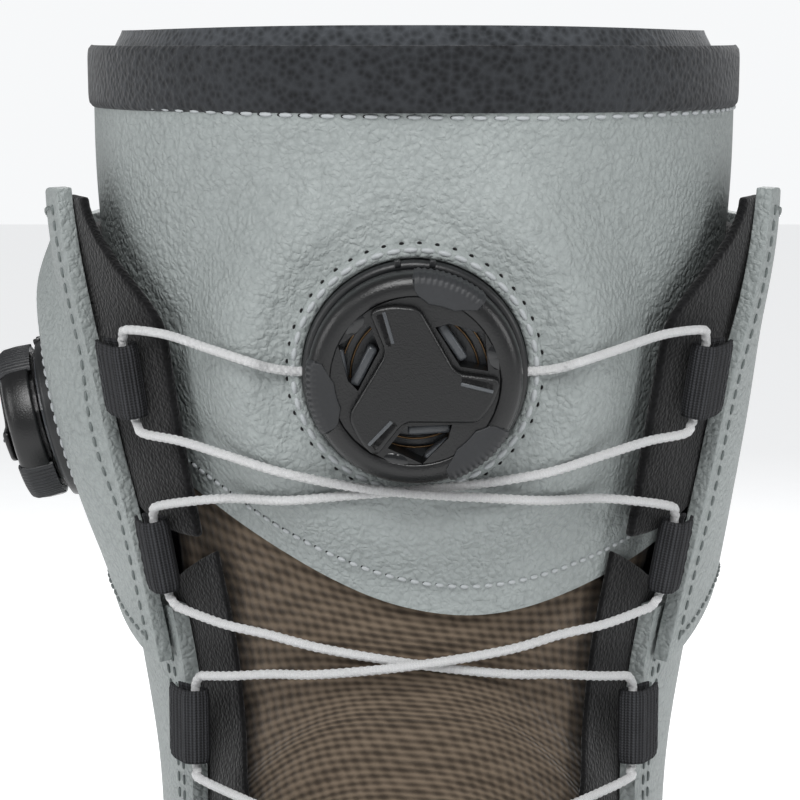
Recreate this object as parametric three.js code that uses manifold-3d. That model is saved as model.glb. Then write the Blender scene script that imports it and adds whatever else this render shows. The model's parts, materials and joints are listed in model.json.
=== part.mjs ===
// Right snowboard boot with a dial on the tongue and a smaller dial on the outer side of the cuff.
// Millimetres, +Z up, toe towards -Y, outer (lateral) side of the foot towards -X.
// The origin is on the ground under the arch. The upper is a skin swept through the ring stations below;
// every soft panel is a patch of that skin, given by how far it stands off it.
import * as THREE from "three";
import { mergeVertices } from "three/addons/utils/BufferGeometryUtils.js";
import Module from "manifold-3d";

const wasm = await Module();
wasm.setup();

// ---- Driving dimensions ----
const BOOT_LENGTH = 316; // along the sole
const BOOT_WIDTH = 119; // across the sole at the ball of the foot
const DRAWN_LENGTH = 316; // the size at which the stations and the sole's outline are given
const DRAWN_WIDTH = 119;
const GAP = 0.4; // between pieces that touch
const SHELL_WALL = 2.6; // leather and backing of the lower shell
const CUFF_WALL = 2.6;
const CUFF_LIFT = 0.7; // cuff's inner face above the shell's skin, in front of the ankle
const CUFF_HEEL_LIFT = 3.2; // extra lift behind the ankle, so the cuff can flex forwards
const LINING_WALL = 1.6;
const TONGUE_DEPTH = 4.4; // tongue's outer face below the skin
const LINER_DEPTH = 11.5; // liner's outer face below the skin
const LINER_WALL = 7;
const SOLE_TOP = 27; // height of the midsole's bed
const SOLE_LIP = 9; // midsole's wall above its bed
const LUG_DEPTH = 5; // tread below the plate
const RUBBER_TOP = 9.9; // outsole's upper face
const DIAL_HEIGHT = 240; // front dial's centre above the ground
const DIAL_TILT = 4; // degrees that the front dial looks down
const SIDE_DIAL_HEIGHT = 226;
const SIDE_DIAL_BACK = 64; // side dial's centre, along Y
const SIDE_DIAL_TILT = 14; // degrees that the side dial looks down
const FRONT_KNOB_D = 33;
const SIDE_KNOB_D = 27;
const LACE_D = 1.5;
const LACE_HOLE_D = 2.5; // channel in each webbing loop
const LOOP_WIDTH = 12; // webbing width

// Ring stations from toe to top: front point [y, z], back point [y, z], half-width, sideways shift, roundness.
const DRAWN_STATIONS = [
  [[-155, 51], [-155, 33], 18, 9, 2.2],
  [[-149, 71], [-148, 28], 35, 8, 2.3],
  [[-134, 86], [-134, 27], 46, 6, 2.5],
  [[-108, 97], [-110, 27], 52.5, 3, 2.6],
  [[-78, 109], [-82, 27], 54.5, 0, 2.6],
  [[-49, 123], [-50, 27], 52.5, -1, 2.6],
  [[-26, 140], [-12, 27], 49.5, -1, 2.5],
  [[-11, 156], [38, 27], 46.5, 0, 2.5],
  [[-4, 168], [84, 27], 45, 0, 2.5],
  [[-1, 177], [116, 29], 44.5, 0, 2.4],
  [[0, 186], [138, 44], 44.5, 0, 2.4],
  [[1, 194], [147, 72], 44.5, 0, 2.3],
  [[1, 204], [148, 112], 45.5, 0, 2.3],
  [[0, 217], [144, 152], 49, 0, 2.3],
  [[-2, 233], [140, 194], 53.5, 0, 2.3],
  [[-4, 250], [137, 230], 57, 0, 2.3],
  [[-6, 270], [136, 262], 59, 0, 2.3],
  [[-8, 292], [137, 292], 59.5, 0, 2.3],
];
const lengthwise = (y) => (y * BOOT_LENGTH) / DRAWN_LENGTH;
const widthwise = (x) => (x * BOOT_WIDTH) / DRAWN_WIDTH;
const STATIONS = DRAWN_STATIONS.map(([front, back, width, shift, roundness]) => [
  [lengthwise(front[0]), front[1]], [lengthwise(back[0]), back[1]], widthwise(width), widthwise(shift), roundness,
]);
const TOP = STATIONS.length - 1;

// ---- Skin ----
const rad = THREE.MathUtils.degToRad;
const clamp = THREE.MathUtils.clamp;
const smooth = (x, a, b) => THREE.MathUtils.smoothstep(x, a, b);
const spow = (x, p) => Math.sign(x) * Math.abs(x) ** p;

function catmull(a, b, c, d, t) {
  return 0.5 * (2 * b + (c - a) * t + (2 * a - 5 * b + 4 * c - d) * t * t + (3 * b - a - 3 * c + d) * t ** 3);
}

// One station's numbers at any s from 0 (toe) to TOP (collar).
function station(s) {
  const i = clamp(Math.floor(s), 0, TOP - 1);
  const rows = [i - 1, i, i + 1, i + 2].map((k) => STATIONS[clamp(k, 0, TOP)].flat());
  return rows[0].map((_, k) => catmull(rows[0][k], rows[1][k], rows[2][k], rows[3][k], s - i));
}

// Skin point at ring s and angle tau: 0 is the front line, 90 the inner side (+X), 180 the back or the bottom.
function bare(s, tau) {
  const [fy, fz, by, bz, w, shift, n] = station(s);
  const a = rad(tau);
  const along = spow(Math.cos(a), 2 / n);
  const side = spow(Math.sin(a), 2 / n);
  return new THREE.Vector3(
    shift + w * side,
    (fy + by) / 2 + ((fy - by) / 2) * along,
    (fz + bz) / 2 + ((fz - bz) / 2) * along,
  );
}

function normal(s, tau) {
  const s0 = Math.max(s - 0.05, 0.02);
  const ds = bare(Math.min(s0 + 0.1, TOP), tau).sub(bare(s0, tau));
  const dt = bare(s, tau + 1.5).sub(bare(s, tau - 1.5));
  return dt.cross(ds).normalize();
}

const skin = (s, tau, lift) => bare(s, tau).addScaledVector(normal(s, tau), lift);

// The s whose front line (or whose skin at tau) is at height z, by bisection from the instep up.
function ringAt(z, tau = 0) {
  let [lo, hi] = [5, TOP];
  for (let i = 0; i < 30; i++) {
    const mid = (lo + hi) / 2;
    if (bare(mid, tau).z < z) lo = mid;
    else hi = mid;
  }
  return (lo + hi) / 2;
}

// ---- Solids ----
function geometryOf(points, faces) {
  const g = new THREE.BufferGeometry();
  g.setAttribute("position", new THREE.Float32BufferAttribute(points.flatMap((p) => p.toArray()), 3));
  g.setIndex(faces.flat());
  return g;
}

// A closed solid through rings of equal length, with flat fans at both ends.
function ringLoft(rings) {
  const n = rings[0].length;
  const points = rings.flat();
  const faces = [];
  for (let i = 0; i + 1 < rings.length; i++)
    for (let j = 0; j < n; j++) {
      const [a, b] = [i * n + j, i * n + ((j + 1) % n)];
      faces.push([a, b, b + n], [a, b + n, a + n]);
    }
  for (const [row, flip] of [[0, true], [rings.length - 1, false]]) {
    const centre = rings[row].reduce((sum, p) => sum.add(p), new THREE.Vector3()).divideScalar(n);
    points.push(centre);
    for (let j = 0; j < n; j++) {
      const [a, b, c] = [row * n + j, row * n + ((j + 1) % n), points.length - 1];
      faces.push(flip ? [b, a, c] : [a, b, c]);
    }
  }
  return geometryOf(points, faces);
}

// A thick patch: outer(u, v) and inner(u, v) for u along rows and v across columns, both 0 to 1.
function patch(rows, columns, outer, inner) {
  const points = [];
  const size = (rows + 1) * (columns + 1);
  for (const side of [outer, inner])
    for (let i = 0; i <= rows; i++)
      for (let j = 0; j <= columns; j++) points.push(side(i / rows, j / columns));
  const id = (i, j, layer) => layer * size + i * (columns + 1) + j;
  const faces = [];
  const quad = (a, b, c, d) => faces.push([a, b, c], [a, c, d]);
  for (let i = 0; i < rows; i++)
    for (let j = 0; j < columns; j++) {
      quad(id(i, j, 0), id(i, j + 1, 0), id(i + 1, j + 1, 0), id(i + 1, j, 0));
      quad(id(i, j, 1), id(i + 1, j, 1), id(i + 1, j + 1, 1), id(i, j + 1, 1));
    }
  for (let i = 0; i < rows; i++) {
    quad(id(i, 0, 0), id(i + 1, 0, 0), id(i + 1, 0, 1), id(i, 0, 1));
    quad(id(i, columns, 1), id(i + 1, columns, 1), id(i + 1, columns, 0), id(i, columns, 0));
  }
  for (let j = 0; j < columns; j++) {
    quad(id(0, j, 1), id(0, j + 1, 1), id(0, j + 1, 0), id(0, j, 0));
    quad(id(rows, j, 0), id(rows, j + 1, 0), id(rows, j + 1, 1), id(rows, j, 1));
  }
  return geometryOf(points, faces);
}

function toManifold(geometry) {
  const plain = new THREE.BufferGeometry();
  const source = geometry.index ? geometry.toNonIndexed() : geometry;
  plain.setAttribute("position", source.getAttribute("position"));
  const merged = mergeVertices(plain, 1e-3);
  const vertProperties = new Float32Array(merged.attributes.position.array);
  const triVerts = new Uint32Array(merged.index.array);
  const made = new wasm.Manifold(new wasm.Mesh({ numProp: 3, vertProperties, triVerts }));
  if (made.volume() > 0) return made;
  triVerts.reverse(); // a patch or loft swept the other way round faces in
  return new wasm.Manifold(new wasm.Mesh({ numProp: 3, vertProperties, triVerts }));
}

function fromManifold(solid) {
  const m = solid.getMesh();
  const g = new THREE.BufferGeometry();
  const v = new Float32Array(m.numVert * 3);
  for (let i = 0; i < m.numVert; i++) v.set(m.vertProperties.subarray(i * m.numProp, i * m.numProp + 3), i * 3);
  g.setAttribute("position", new THREE.BufferAttribute(v, 3));
  g.setIndex(new THREE.BufferAttribute(new Uint32Array(m.triVerts), 1));
  return g;
}

const solidOf = (geometry) => (geometry.isBufferGeometry ? toManifold(geometry) : geometry);
const cut = (base, ...tools) => tools.reduce((s, t) => s.subtract(solidOf(t)), solidOf(base));
const join = (base, ...more) => more.reduce((s, t) => s.add(solidOf(t)), solidOf(base));
const largest = (solid) => solid.decompose().sort((a, b) => b.volume() - a.volume())[0];

// ---- Materials ----
const matte = (color, roughness = 0.8, metalness = 0) =>
  new THREE.MeshStandardMaterial({ color, roughness, metalness });
const MATERIALS = {
  leather: matte(0x969c9b, 0.55),
  lining: matte(0x111112, 0.9),
  textile: matte(0x63574a, 0.95),
  webbing: matte(0x2b2b2e, 0.9),
  lace: matte(0xe6e8ea, 0.6),
  rubber: matte(0x17181a, 0.85),
  foam: matte(0x3a3c3f, 0.95),
  midsole: matte(0xd5d6d3, 0.8),
  dial_plastic: matte(0x2a2c2f, 0.45),
  dial_cap: matte(0x0d0d0e, 0.35),
  dial_grip: matte(0x45484b, 0.7),
  dial_inner: matte(0x55575a, 0.5),
  steel: matte(0xb6b8ba, 0.3, 1),
  board: matte(0x8a8780, 0.9),
};

const boot = new THREE.Group();
function piece(name, shape, material, parent = boot) {
  const geometry = fromManifold(solidOf(shape));
  const mesh = new THREE.Mesh(geometry, MATERIALS[material]);
  mesh.name = name;
  parent.add(mesh);
  return mesh;
}

// ---- Shared curves of the upper ----
const angleFromFront = (tau) => Math.abs(((tau + 180) % 360 + 360) % 360 - 180);
const THROAT_START = 4.6; // ring where the throat opens on the instep
const throatEdge = (s) => 57 * (1 - Math.exp(-Math.max(s - THROAT_START, 0) / 2.2));
const shellTop = (tau) => {
  const a = angleFromFront(tau);
  return 197 + 8 * smooth(a, 60, 90) - 62 * smooth(a, 88, 178);
};
const cuffLow = (tau) => {
  const a = angleFromFront(tau);
  return 188 + 8 * smooth(a, 55, 85) - 68 * smooth(a, 84, 178);
};
const cuffHigh = (tau) => {
  const a = angleFromFront(tau);
  return 267 - 8 * smooth(a, 66, 100) + 14 * smooth(a, 110, 178);
};
const CUFF_EDGE_LOW = 57; // cuff's front edges, degrees from the front line
const CUFF_EDGE_HIGH = 63;
const LINING_EDGE = 42; // the black lining shows between here and the cuff's edge
const PANEL_DIP_X = 12; // where the tongue's leather panel reaches lowest
const panelLow = (x) => 200 + 0.008 * (x - PANEL_DIP_X) ** 2;
const TONGUE_TOP = 290;

const lerp = THREE.MathUtils.lerp;
const cuffLift = (tau) => CUFF_LIFT + CUFF_HEEL_LIFT * smooth(angleFromFront(tau), 85, 150);
const linerLift = (s, tau) => {
  const front = (1 - smooth(angleFromFront(tau), 72, 104)) * smooth(s, 2.4, 4.1);
  return -5.4 - (LINER_DEPTH - 5.4) * front;
};

// ---- Dials' places ----
const frontAxis = new THREE.Vector3(0, -Math.cos(rad(DIAL_TILT)), -Math.sin(rad(DIAL_TILT)));
const FRONT_DOME = 2.6; // how far the leather rises around the front dial
const frontPlace = skin(ringAt(DIAL_HEIGHT), 0, -TONGUE_DEPTH + FRONT_DOME);
const sideAxis = new THREE.Vector3(-Math.cos(rad(SIDE_DIAL_TILT)), 0, -Math.sin(rad(SIDE_DIAL_TILT)));
const SIDE_DOME = 1.6;
const sidePlace = (() => {
  let [lo, hi] = [230, 300];
  for (let i = 0; i < 30; i++) {
    const mid = (lo + hi) / 2;
    if (bare(ringAt(SIDE_DIAL_HEIGHT, mid), mid).y > SIDE_DIAL_BACK) lo = mid;
    else hi = mid;
  }
  return skin(ringAt(SIDE_DIAL_HEIGHT, lo), lo, CUFF_LIFT + CUFF_WALL + SIDE_DOME);
})();

// Presses a point near a dial flat, onto the plane that is depth below the dial's seat.
function seat(point, place, axis, depth, radius) {
  const rel = point.clone().sub(place);
  const height = rel.dot(axis);
  const r = rel.addScaledVector(axis, -height).length();
  const weight = height > -20 ? 1 - smooth(r, radius, radius + 14) : 0;
  return point.addScaledVector(axis, (-depth - height) * weight);
}

function dialFrame(place, axis) {
  const group = new THREE.Group();
  const x = new THREE.Vector3(0, 0, 1).cross(axis).normalize();
  const y = axis.clone().cross(x);
  group.quaternion.setFromRotationMatrix(new THREE.Matrix4().makeBasis(x, y, axis));
  group.position.copy(place);
  group.updateMatrixWorld(true);
  boot.add(group);
  return group;
}

const FRONT_SEAT_R = FRONT_KNOB_D / 2 + 8;
const SIDE_SEAT_R = SIDE_KNOB_D / 2 + 8;

// A bar along the dial's axis, in the boot's frame, for cutting the dial's hole.
function bar(place, axis, radius, from, to) {
  const g = new THREE.CylinderGeometry(radius, radius, to - from, 40);
  g.rotateX(Math.PI / 2).translate(0, 0, (from + to) / 2);
  const q = new THREE.Quaternion().setFromUnitVectors(new THREE.Vector3(0, 0, 1), axis);
  return g.applyQuaternion(q).translate(...place.toArray());
}

// ---- Upper: closed volumes and patches of the skin ----
const RING = 28; // points round the shell
const LINER_RING = 22;
const SHELL_ROWS = 14;
function toeRings(top, lift, rows, first, around) {
  const rings = [];
  for (let i = 0; i <= rows; i++) {
    const ring = [];
    for (let j = 0; j < around; j++) {
      const tau = (360 * j) / around;
      const s = lerp(first, top(tau), i / rows);
      ring.push(skin(s, tau, typeof lift === "function" ? lift(s, tau) : lift));
    }
    rings.push(ring);
  }
  const middle = rings[0].reduce((sum, p) => sum.add(p), new THREE.Vector3()).divideScalar(around);
  rings.unshift(rings[0].map((p) => p.clone().lerp(middle, 0.45).add(new THREE.Vector3(0, -2.2, 0))));
  return rings;
}
// A solid filled from the toe up to ring top(tau), and a hollow one with an even wall.
const volume = (top, lift, rows, first = 0) => ringLoft(toeRings(top, lift, rows, first, RING));
const cup = (top, outer, inner, rows, first, innerFirst, around = RING) => ringLoft([
  ...toeRings(top, outer, rows, first, around),
  ...toeRings(top, inner, rows, innerFirst, around).reverse(),
]);
const topAt = (height, more = 0) => (tau) => Math.min(ringAt(height(tau), tau) + more, TOP);

// A patch between two edges, left to right, from low(tau) to high(tau) in height, between two lifts.
function band(rows, columns, edge, low, high, outerLift, innerLift, adjust = (p) => p) {
  const at = (lift, layer) => (u, v) => {
    const half = edge(u);
    const tau = lerp(half, 360 - half, v);
    const s = ringAt(lerp(low(tau), high(tau), u), tau);
    return adjust(skin(s, tau, lift(tau, u)), layer);
  };
  return patch(rows, columns, at(outerLift, 0), at(innerLift, 1));
}
// The same across the front, from -edge to +edge.
function apron(rows, columns, edge, low, high, outerLift, innerLift, adjust = (p) => p) {
  const at = (lift, layer) => (u, v) => {
    const half = edge(u);
    const tau = lerp(-half, half, v);
    const x = bare(ringAt(low(0), 0), tau).x;
    const s = ringAt(lerp(low(x), high(x), u), tau);
    return adjust(skin(s, tau, lift), layer);
  };
  return patch(rows, columns, at(outerLift, 0), at(innerLift, 1));
}

// ---- Lower shell ----
const shellCup = cup(topAt(shellTop), 0, -SHELL_WALL, SHELL_ROWS, 0, 0.35);
const throatCut = patch(
  16, 10,
  (u, v) => {
    const s = lerp(THROAT_START, 14, u);
    return skin(s, lerp(-1, 1, v) * Math.max(throatEdge(s), 3), 12);
  },
  (u, v) => {
    const s = lerp(THROAT_START, 14, u);
    return skin(s, lerp(-1, 1, v) * Math.max(throatEdge(s), 3), -9);
  },
);
const lowerShell = cut(shellCup, throatCut);
piece("lower_shell", largest(lowerShell), "leather");

// ---- Cuff ----
const cuffEdge = (u) => lerp(CUFF_EDGE_LOW, CUFF_EDGE_HIGH, u);
const LAPEL_FLARE = 2.2; // how far the cuff's front corners turn out
const flare = (tau, u) => LAPEL_FLARE * smooth(u, 0.55, 1) * (1 - smooth(angleFromFront(tau), 62, 88));
const cuffShape = band(
  8, 28, cuffEdge, cuffLow, cuffHigh,
  (tau, u) => cuffLift(tau) + CUFF_WALL + flare(tau, u),
  (tau, u) => cuffLift(tau) + flare(tau, u),
  (p, layer) => seat(p, sidePlace, sideAxis, layer * CUFF_WALL, SIDE_SEAT_R),
);
piece("cuff_shell", cut(cuffShape, bar(sidePlace, sideAxis, SIDE_KNOB_D / 2 + 0.9 + GAP, -8, 6)), "leather");

const liningLow = (tau) => {
  const a = angleFromFront(tau);
  return 211 + 10 * smooth(a, 45, 90) - 62 * smooth(a, 88, 178);
};
const liningShape = band(
  4, 24, (u) => LINING_EDGE + (CUFF_EDGE_HIGH - 3 - LINING_EDGE) * smooth(u, 0.6, 1),
  liningLow, (tau) => cuffHigh(tau) - 1.5,
  (tau, u) => cuffLift(tau) - GAP + flare(tau, u),
  (tau, u) => cuffLift(tau) - GAP - LINING_WALL + flare(tau, u),
);
const sideWell = bar(sidePlace, sideAxis, SIDE_KNOB_D / 2 + 5.4, -12, 6);
piece("cuff_lining", largest(cut(liningShape, sideWell)), "lining");

// ---- Tongue ----
const PANEL_WALL = 1.6;
const panelShape = apron(
  9, 20, (u) => lerp(66, 84, u), panelLow, () => TONGUE_TOP - 5,
  -TONGUE_DEPTH, -TONGUE_DEPTH - PANEL_WALL,
  (p, layer) => seat(p, frontPlace, frontAxis, layer * PANEL_WALL, FRONT_SEAT_R),
);
const frontHole = bar(frontPlace, frontAxis, FRONT_KNOB_D / 2 + 0.9 + GAP, -10, 8);
piece("tongue_panel", cut(panelShape, frontHole), "leather");

const textileDepth = TONGUE_DEPTH + PANEL_WALL + GAP;
const TEXTILE_WALL = 1.8;
const textileSurface = (depth) => (u, v) => {
  const across = lerp(-1, 1, v);
  const high = across * 64;
  const x = bare(ringAt(200, 0), high).x;
  const sTop = ringAt(panelLow(x) + 13, high);
  const s = lerp(THROAT_START - 0.35, sTop, u);
  const tau = across * lerp(14, 64, smooth(u, 0, 0.55));
  return skin(s, tau, -depth);
};
const tongueTextile = patch(14, 12, textileSurface(textileDepth), textileSurface(textileDepth + TEXTILE_WALL));
piece("tongue_flex_panel", tongueTextile, "textile");

const foamDepth = textileDepth + TEXTILE_WALL + GAP;
piece("tongue_foam", apron(
  3, 10, () => 60, () => 222, () => TONGUE_TOP - 8, -foamDepth, -foamDepth - 2.2,
), "foam");

const shieldSurface = (depth) => (u, v) => {
  const s = lerp(THROAT_START + 0.5, 7.6, u);
  return skin(s, lerp(-1, 1, v) * (throatEdge(s) - 4), -depth);
};
piece("tongue_shield", patch(6, 8, shieldSurface(TONGUE_DEPTH), shieldSurface(TONGUE_DEPTH + PANEL_WALL)), "leather");

piece("tongue_binding", apron(
  2, 20, () => 84, () => TONGUE_TOP - 4.6, () => TONGUE_TOP,
  -TONGUE_DEPTH + 0.2, -TONGUE_DEPTH - 3.4,
), "leather");

// ---- Sole unit ----
// Right foot's outline in plan, [x, y], clockwise from the toe seen from above.
const OUTLINE = [
  [9, -161], [-18, -155], [-44, -134], [-55, -106], [-59, -77], [-58, -47], [-54, -17], [-49, 15], [-46, 50],
  [-45, 90], [-41, 124], [-27, 147], [0, 155], [27, 147], [41, 124], [45, 90], [45, 50], [47, 15], [51, -17],
  [55, -47], [59, -77], [60, -106], [53, -138], [34, -155],
];
const outlineCurve = new THREE.CatmullRomCurve3(
  OUTLINE.map(([x, y]) => new THREE.Vector3(widthwise(x), lengthwise(y), 0)), true,
);
const OUTLINE_STEPS = 60;
function footprint(inset) {
  const points = [];
  for (let i = 0; i < OUTLINE_STEPS; i++) {
    const p = outlineCurve.getPointAt(i / OUTLINE_STEPS);
    const t = outlineCurve.getTangentAt(i / OUTLINE_STEPS);
    points.push(new THREE.Vector2(p.x + inset * t.y, p.y - inset * t.x));
  }
  return new THREE.Shape(points);
}
function slab(shape, from, to) {
  return new THREE.ExtrudeGeometry(shape, { depth: to - from, bevelEnabled: false }).translate(0, 0, from);
}
function box(x0, x1, y0, y1, z0, z1) {
  return new THREE.BoxGeometry(x1 - x0, y1 - y0, z1 - z0).translate((x0 + x1) / 2, (y0 + y1) / 2, (z0 + z1) / 2);
}
const upperClear = volume(topAt(shellTop), GAP, SHELL_ROWS);
piece("midsole", largest(cut(slab(footprint(0), RUBBER_TOP + GAP, SOLE_TOP + SOLE_LIP), upperClear)), "midsole");

const TREAD_PITCH = 19;
const TREAD_GROOVE = 5;
// A tread pod: the outline between two heights along Y, with grooves cut up from the ground.
function pod(name, y0, y1, spine) {
  const keep = box(-90, 90, y0, y1, -1, RUBBER_TOP + 1);
  let rubber = solidOf(slab(footprint(2.5), 0, RUBBER_TOP)).intersect(solidOf(keep));
  for (let y = y0 + TREAD_PITCH * 0.7; y < y1 - TREAD_GROOVE * 1.5; y += TREAD_PITCH) {
    rubber = cut(rubber, box(-90, 90, y, y + TREAD_GROOVE, -1, LUG_DEPTH));
  }
  if (spine) rubber = cut(rubber, box(-spine, spine, y0 - 1, y1 + 1, -1, LUG_DEPTH));
  piece(name, rubber, "rubber");
}
pod("outsole_forefoot", -165, -32, 3);
pod("outsole_arch_pad", -11, 17, 0);
pod("outsole_heel", 55, 160, 3);

// Insole board on the shell's floor, and the footbed on the liner's floor.
const floorPatch = (rows, columns, s0, s1, half, lift, thickness) => patch(
  rows, columns,
  (u, v) => skin(lerp(s0, s1, u), 180 + lerp(-half, half, v), lift),
  (u, v) => skin(lerp(s0, s1, u), 180 + lerp(-half, half, v), lift - thickness),
);
piece("insole_board", floorPatch(11, 4, 2.1, 7.9, 36, -SHELL_WALL - 0.8, 1), "board");

// ---- Toe cap and heel counter, outside the lower shell ----
const RAND_LIFT = 2.6;
const capTop = (tau) => 2.1 + 1.5 * smooth(angleFromFront(tau), 40, 110);
const toeCap = cut(
  volume(capTop, RAND_LIFT, 5), volume((tau) => capTop(tau) + 1, GAP + 0.1, 9),
  box(-90, 90, -200, 0, 0, SOLE_TOP + SOLE_LIP + GAP),
);
piece("toe_cap", largest(toeCap), "rubber");
// Everything in front of or above a slanting line, seen from the side.
const inFront = new THREE.Shape([[-200, 0], [62, 0], [92, 74], [118, 92], [170, 99], [170, 260], [-200, 260]]
  .map(([y, z]) => new THREE.Vector2(y, z)));
const frontBlock = new THREE.ExtrudeGeometry(inFront, { depth: 180, bevelEnabled: false })
  .rotateY(Math.PI / 2).rotateX(Math.PI / 2).translate(-90, 0, 0);
const counterTop = () => 12.3;
const counter = cut(
  volume(counterTop, 2.4, 9, 7), volume(counterTop, GAP + 0.2, 11, 6.5),
  box(-90, 90, -200, 200, 0, SOLE_TOP + SOLE_LIP + GAP), frontBlock,
);
piece("heel_counter", largest(counter), "rubber");

// Stiffening spine sewn up the back of the cuff.
const spineSurface = (lift) => (u, v) => {
  const tau = 180 + lerp(-1, 1, v) * lerp(17, 11, u);
  return skin(ringAt(lerp(136, 256, u), tau), tau, cuffLift(tau) + CUFF_WALL + lift);
};
piece("cuff_backstay", patch(8, 5, spineSurface(2.2), spineSurface(GAP)), "rubber");

// ---- Liner ----
const LINER_ROWS = 10;
const linerFootTop = (tau) => 150 - 32 * smooth(angleFromFront(tau), 60, 150);
const linerLegLow = (tau) => 212 - 62 * smooth(angleFromFront(tau), 80, 172);
const linerInner = (s, tau) => linerLift(s, tau) - LINER_WALL;
const linerFoot = cup(topAt(linerFootTop), linerLift, linerInner, LINER_ROWS, 0.7, 1.3, LINER_RING);
piece("liner_foot", linerFoot, "foam");

// A tube of the liner between two heights, both given round the leg.
function linerRing(low, high, rows) {
  const loop = (depth) => {
    const rings = [];
    for (let i = 0; i <= rows; i++) {
      const ring = [];
      for (let j = 0; j < LINER_RING; j++) {
        const tau = (360 * j) / LINER_RING;
        const s = lerp(low(tau), high(tau), i / rows);
        ring.push(skin(s, tau, linerLift(s, tau) - depth));
      }
      rings.push(ring);
    }
    return rings;
  };
  const [outer, inner] = [loop(0), loop(LINER_WALL)];
  return torus([...outer, ...inner.reverse()]);
}
// A closed solid through rings whose last joins the first.
function torus(rings) {
  const n = rings[0].length;
  const faces = [];
  rings.forEach((_, i) => {
    const next = ((i + 1) % rings.length) * n;
    for (let j = 0; j < n; j++) {
      const [a, b] = [j, (j + 1) % n];
      faces.push([i * n + a, i * n + b, next + b], [i * n + a, next + b, next + a]);
    }
  });
  return geometryOf(rings.flat(), faces);
}
const LINER_JOIN = 0.12; // gap between the liner's stretches, in rings
const ankleLow = (tau) => ringAt(linerFootTop(tau), tau) + LINER_JOIN;
const ankleHigh = (tau) => ringAt(linerLegLow(tau), tau) - LINER_JOIN;
piece("liner_ankle_flex", linerRing(ankleLow, ankleHigh, 3), "foam");
piece("liner_leg", linerRing(topAt(linerLegLow), () => TOP, 4), "foam");

const footbedLift = -5.4 - LINER_WALL - 1.4;
piece("footbed", floorPatch(9, 4, 2.6, 8.1, 38, footbedLift, 3.6), "foam");

// ---- Gussets between the shell's throat edges and the tongue ----
for (const [name, sign] of [["gusset_outer", -1], ["gusset_inner", 1]]) {
  const surface = (depth) => (u, v) => {
    const s = lerp(THROAT_START + 1.4, 12.9, u);
    return skin(s, sign * (throatEdge(s) + lerp(-13, 7, v) * smooth(u, -0.3, 0.4)), -depth);
  };
  piece(name, patch(9, 3, surface(SHELL_WALL + 0.5), surface(SHELL_WALL + 1.4)), "lining");
}

// ---- Turned solids ----
const circle = (r, z, sides, dented = 0) => Array.from({ length: sides }, (_, i) => {
  const a = (2 * Math.PI * i) / sides;
  const rr = r - (i % 2 ? dented : 0);
  return new THREE.Vector3(rr * Math.cos(a), rr * Math.sin(a), z);
});
const turned = (sides, profile) => torus(profile.map(([r, z]) => circle(r, z, sides)));
const post = (sides, profile) => ringLoft(profile.map(([r, z]) => circle(r, z, sides)));

// ---- Dials: the lace winds on a spool between a base sewn under the leather and a knob ----
const ARM_ANGLES = [106, 226, 346]; // the cap's three arms, degrees anticlockwise from the knob's +X
const CAP_CORNERS = [[13.1, 16.5], [12.4, 1], [11.5, -19], [6.4, -92]]; // radius and angle from the arm
const WINDOW_CORNERS = [[8.8, -36], [10.2, -46], [12.9, -71], [11.2, -98], [7.2, -88]];
const polar = (r, degrees) => new THREE.Vector2(r * Math.cos(rad(degrees)), r * Math.sin(rad(degrees)));
function plate(points, from, to) {
  return new THREE.ExtrudeGeometry(new THREE.Shape(points), { depth: to - from, bevelEnabled: false })
    .translate(0, 0, from);
}

function dial(prefix, place, axis, k, wall, sides) {
  const frame = dialFrame(place, axis);
  const part = (name, shape, material) => piece(`${prefix}_${name}`, shape, material, frame);
  const flangeTop = -wall - GAP;
  const bottom = -wall - 2.4;
  const floor = bottom + 1.2;
  part("flange", turned(sides, [
    [17.8 * k, flangeTop - 1.2], [20.4 * k, flangeTop - 1.2], [20.4 * k, flangeTop], [17.8 * k, flangeTop],
  ]), "dial_plastic");
  const cup = turned(sides, [
    [2.3, bottom], [17.4 * k, bottom], [17.4 * k, 3], [15.9 * k, 3], [15.9 * k, floor], [2.3, floor],
  ]);
  const port = new THREE.CylinderGeometry(1.1, 1.1, 40, 8).rotateZ(Math.PI / 2).translate(0, 0, 1.2);
  part("base", cut(cup, port), "dial_plastic");
  part("spool", turned(sides - 6, [
    [2.3, floor + GAP], [13 * k, floor + GAP], [9 * k, floor + 1.6], [9 * k, 1], [13 * k, 2.2], [2.3, 2.2],
  ]), "dial_inner");
  part("axle", post(12, [[3.6, bottom - 1.2], [3.6, bottom - 0.3], [2, bottom - 0.3], [2, 9]]), "steel");
  part("drive_disc", turned(sides, [[2.4, 2.6], [14.7 * k, 2.6], [14.7 * k, 3.6], [2.4, 3.6]]), "dial_inner");
  part("bushing", turned(12, [[2.4, 4.1], [4.1, 4.1], [4.1, 8.8], [2.4, 8.8]]), "dial_plastic");
  const knob = turned(sides, [[4.5, 4], [14.7 * k, 4], [14.7 * k, 8.8], [12.9 * k, 9.6], [4.5, 9.6]]);
  const windows = ARM_ANGLES.map((arm) => plate(
    WINDOW_CORNERS.map(([r, a]) => polar(Math.max(r * k, 5.2), arm + a)).reverse(), 3, 11,
  ));
  part("knob_core", cut(knob, ...windows), "dial_plastic");
  part("knob_grip", torus([
    circle(15.1 * k, 3.4, sides * 2), circle(16.5 * k, 3.4, sides * 2, 0.35),
    circle(16.5 * k, 8, sides * 2, 0.35), circle(15.5 * k, 9, sides * 2), circle(15.1 * k, 9, sides * 2),
  ]), "dial_grip");
  const corners = ARM_ANGLES.slice().reverse().flatMap((arm) => CAP_CORNERS.map(([r, a]) => polar(r * k, arm + a)));
  part("cap", plate(corners.reverse(), 10, 11.4), "dial_cap");
}
dial("front_dial", frontPlace, frontAxis, FRONT_KNOB_D / 33, PANEL_WALL, 32);
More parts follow.
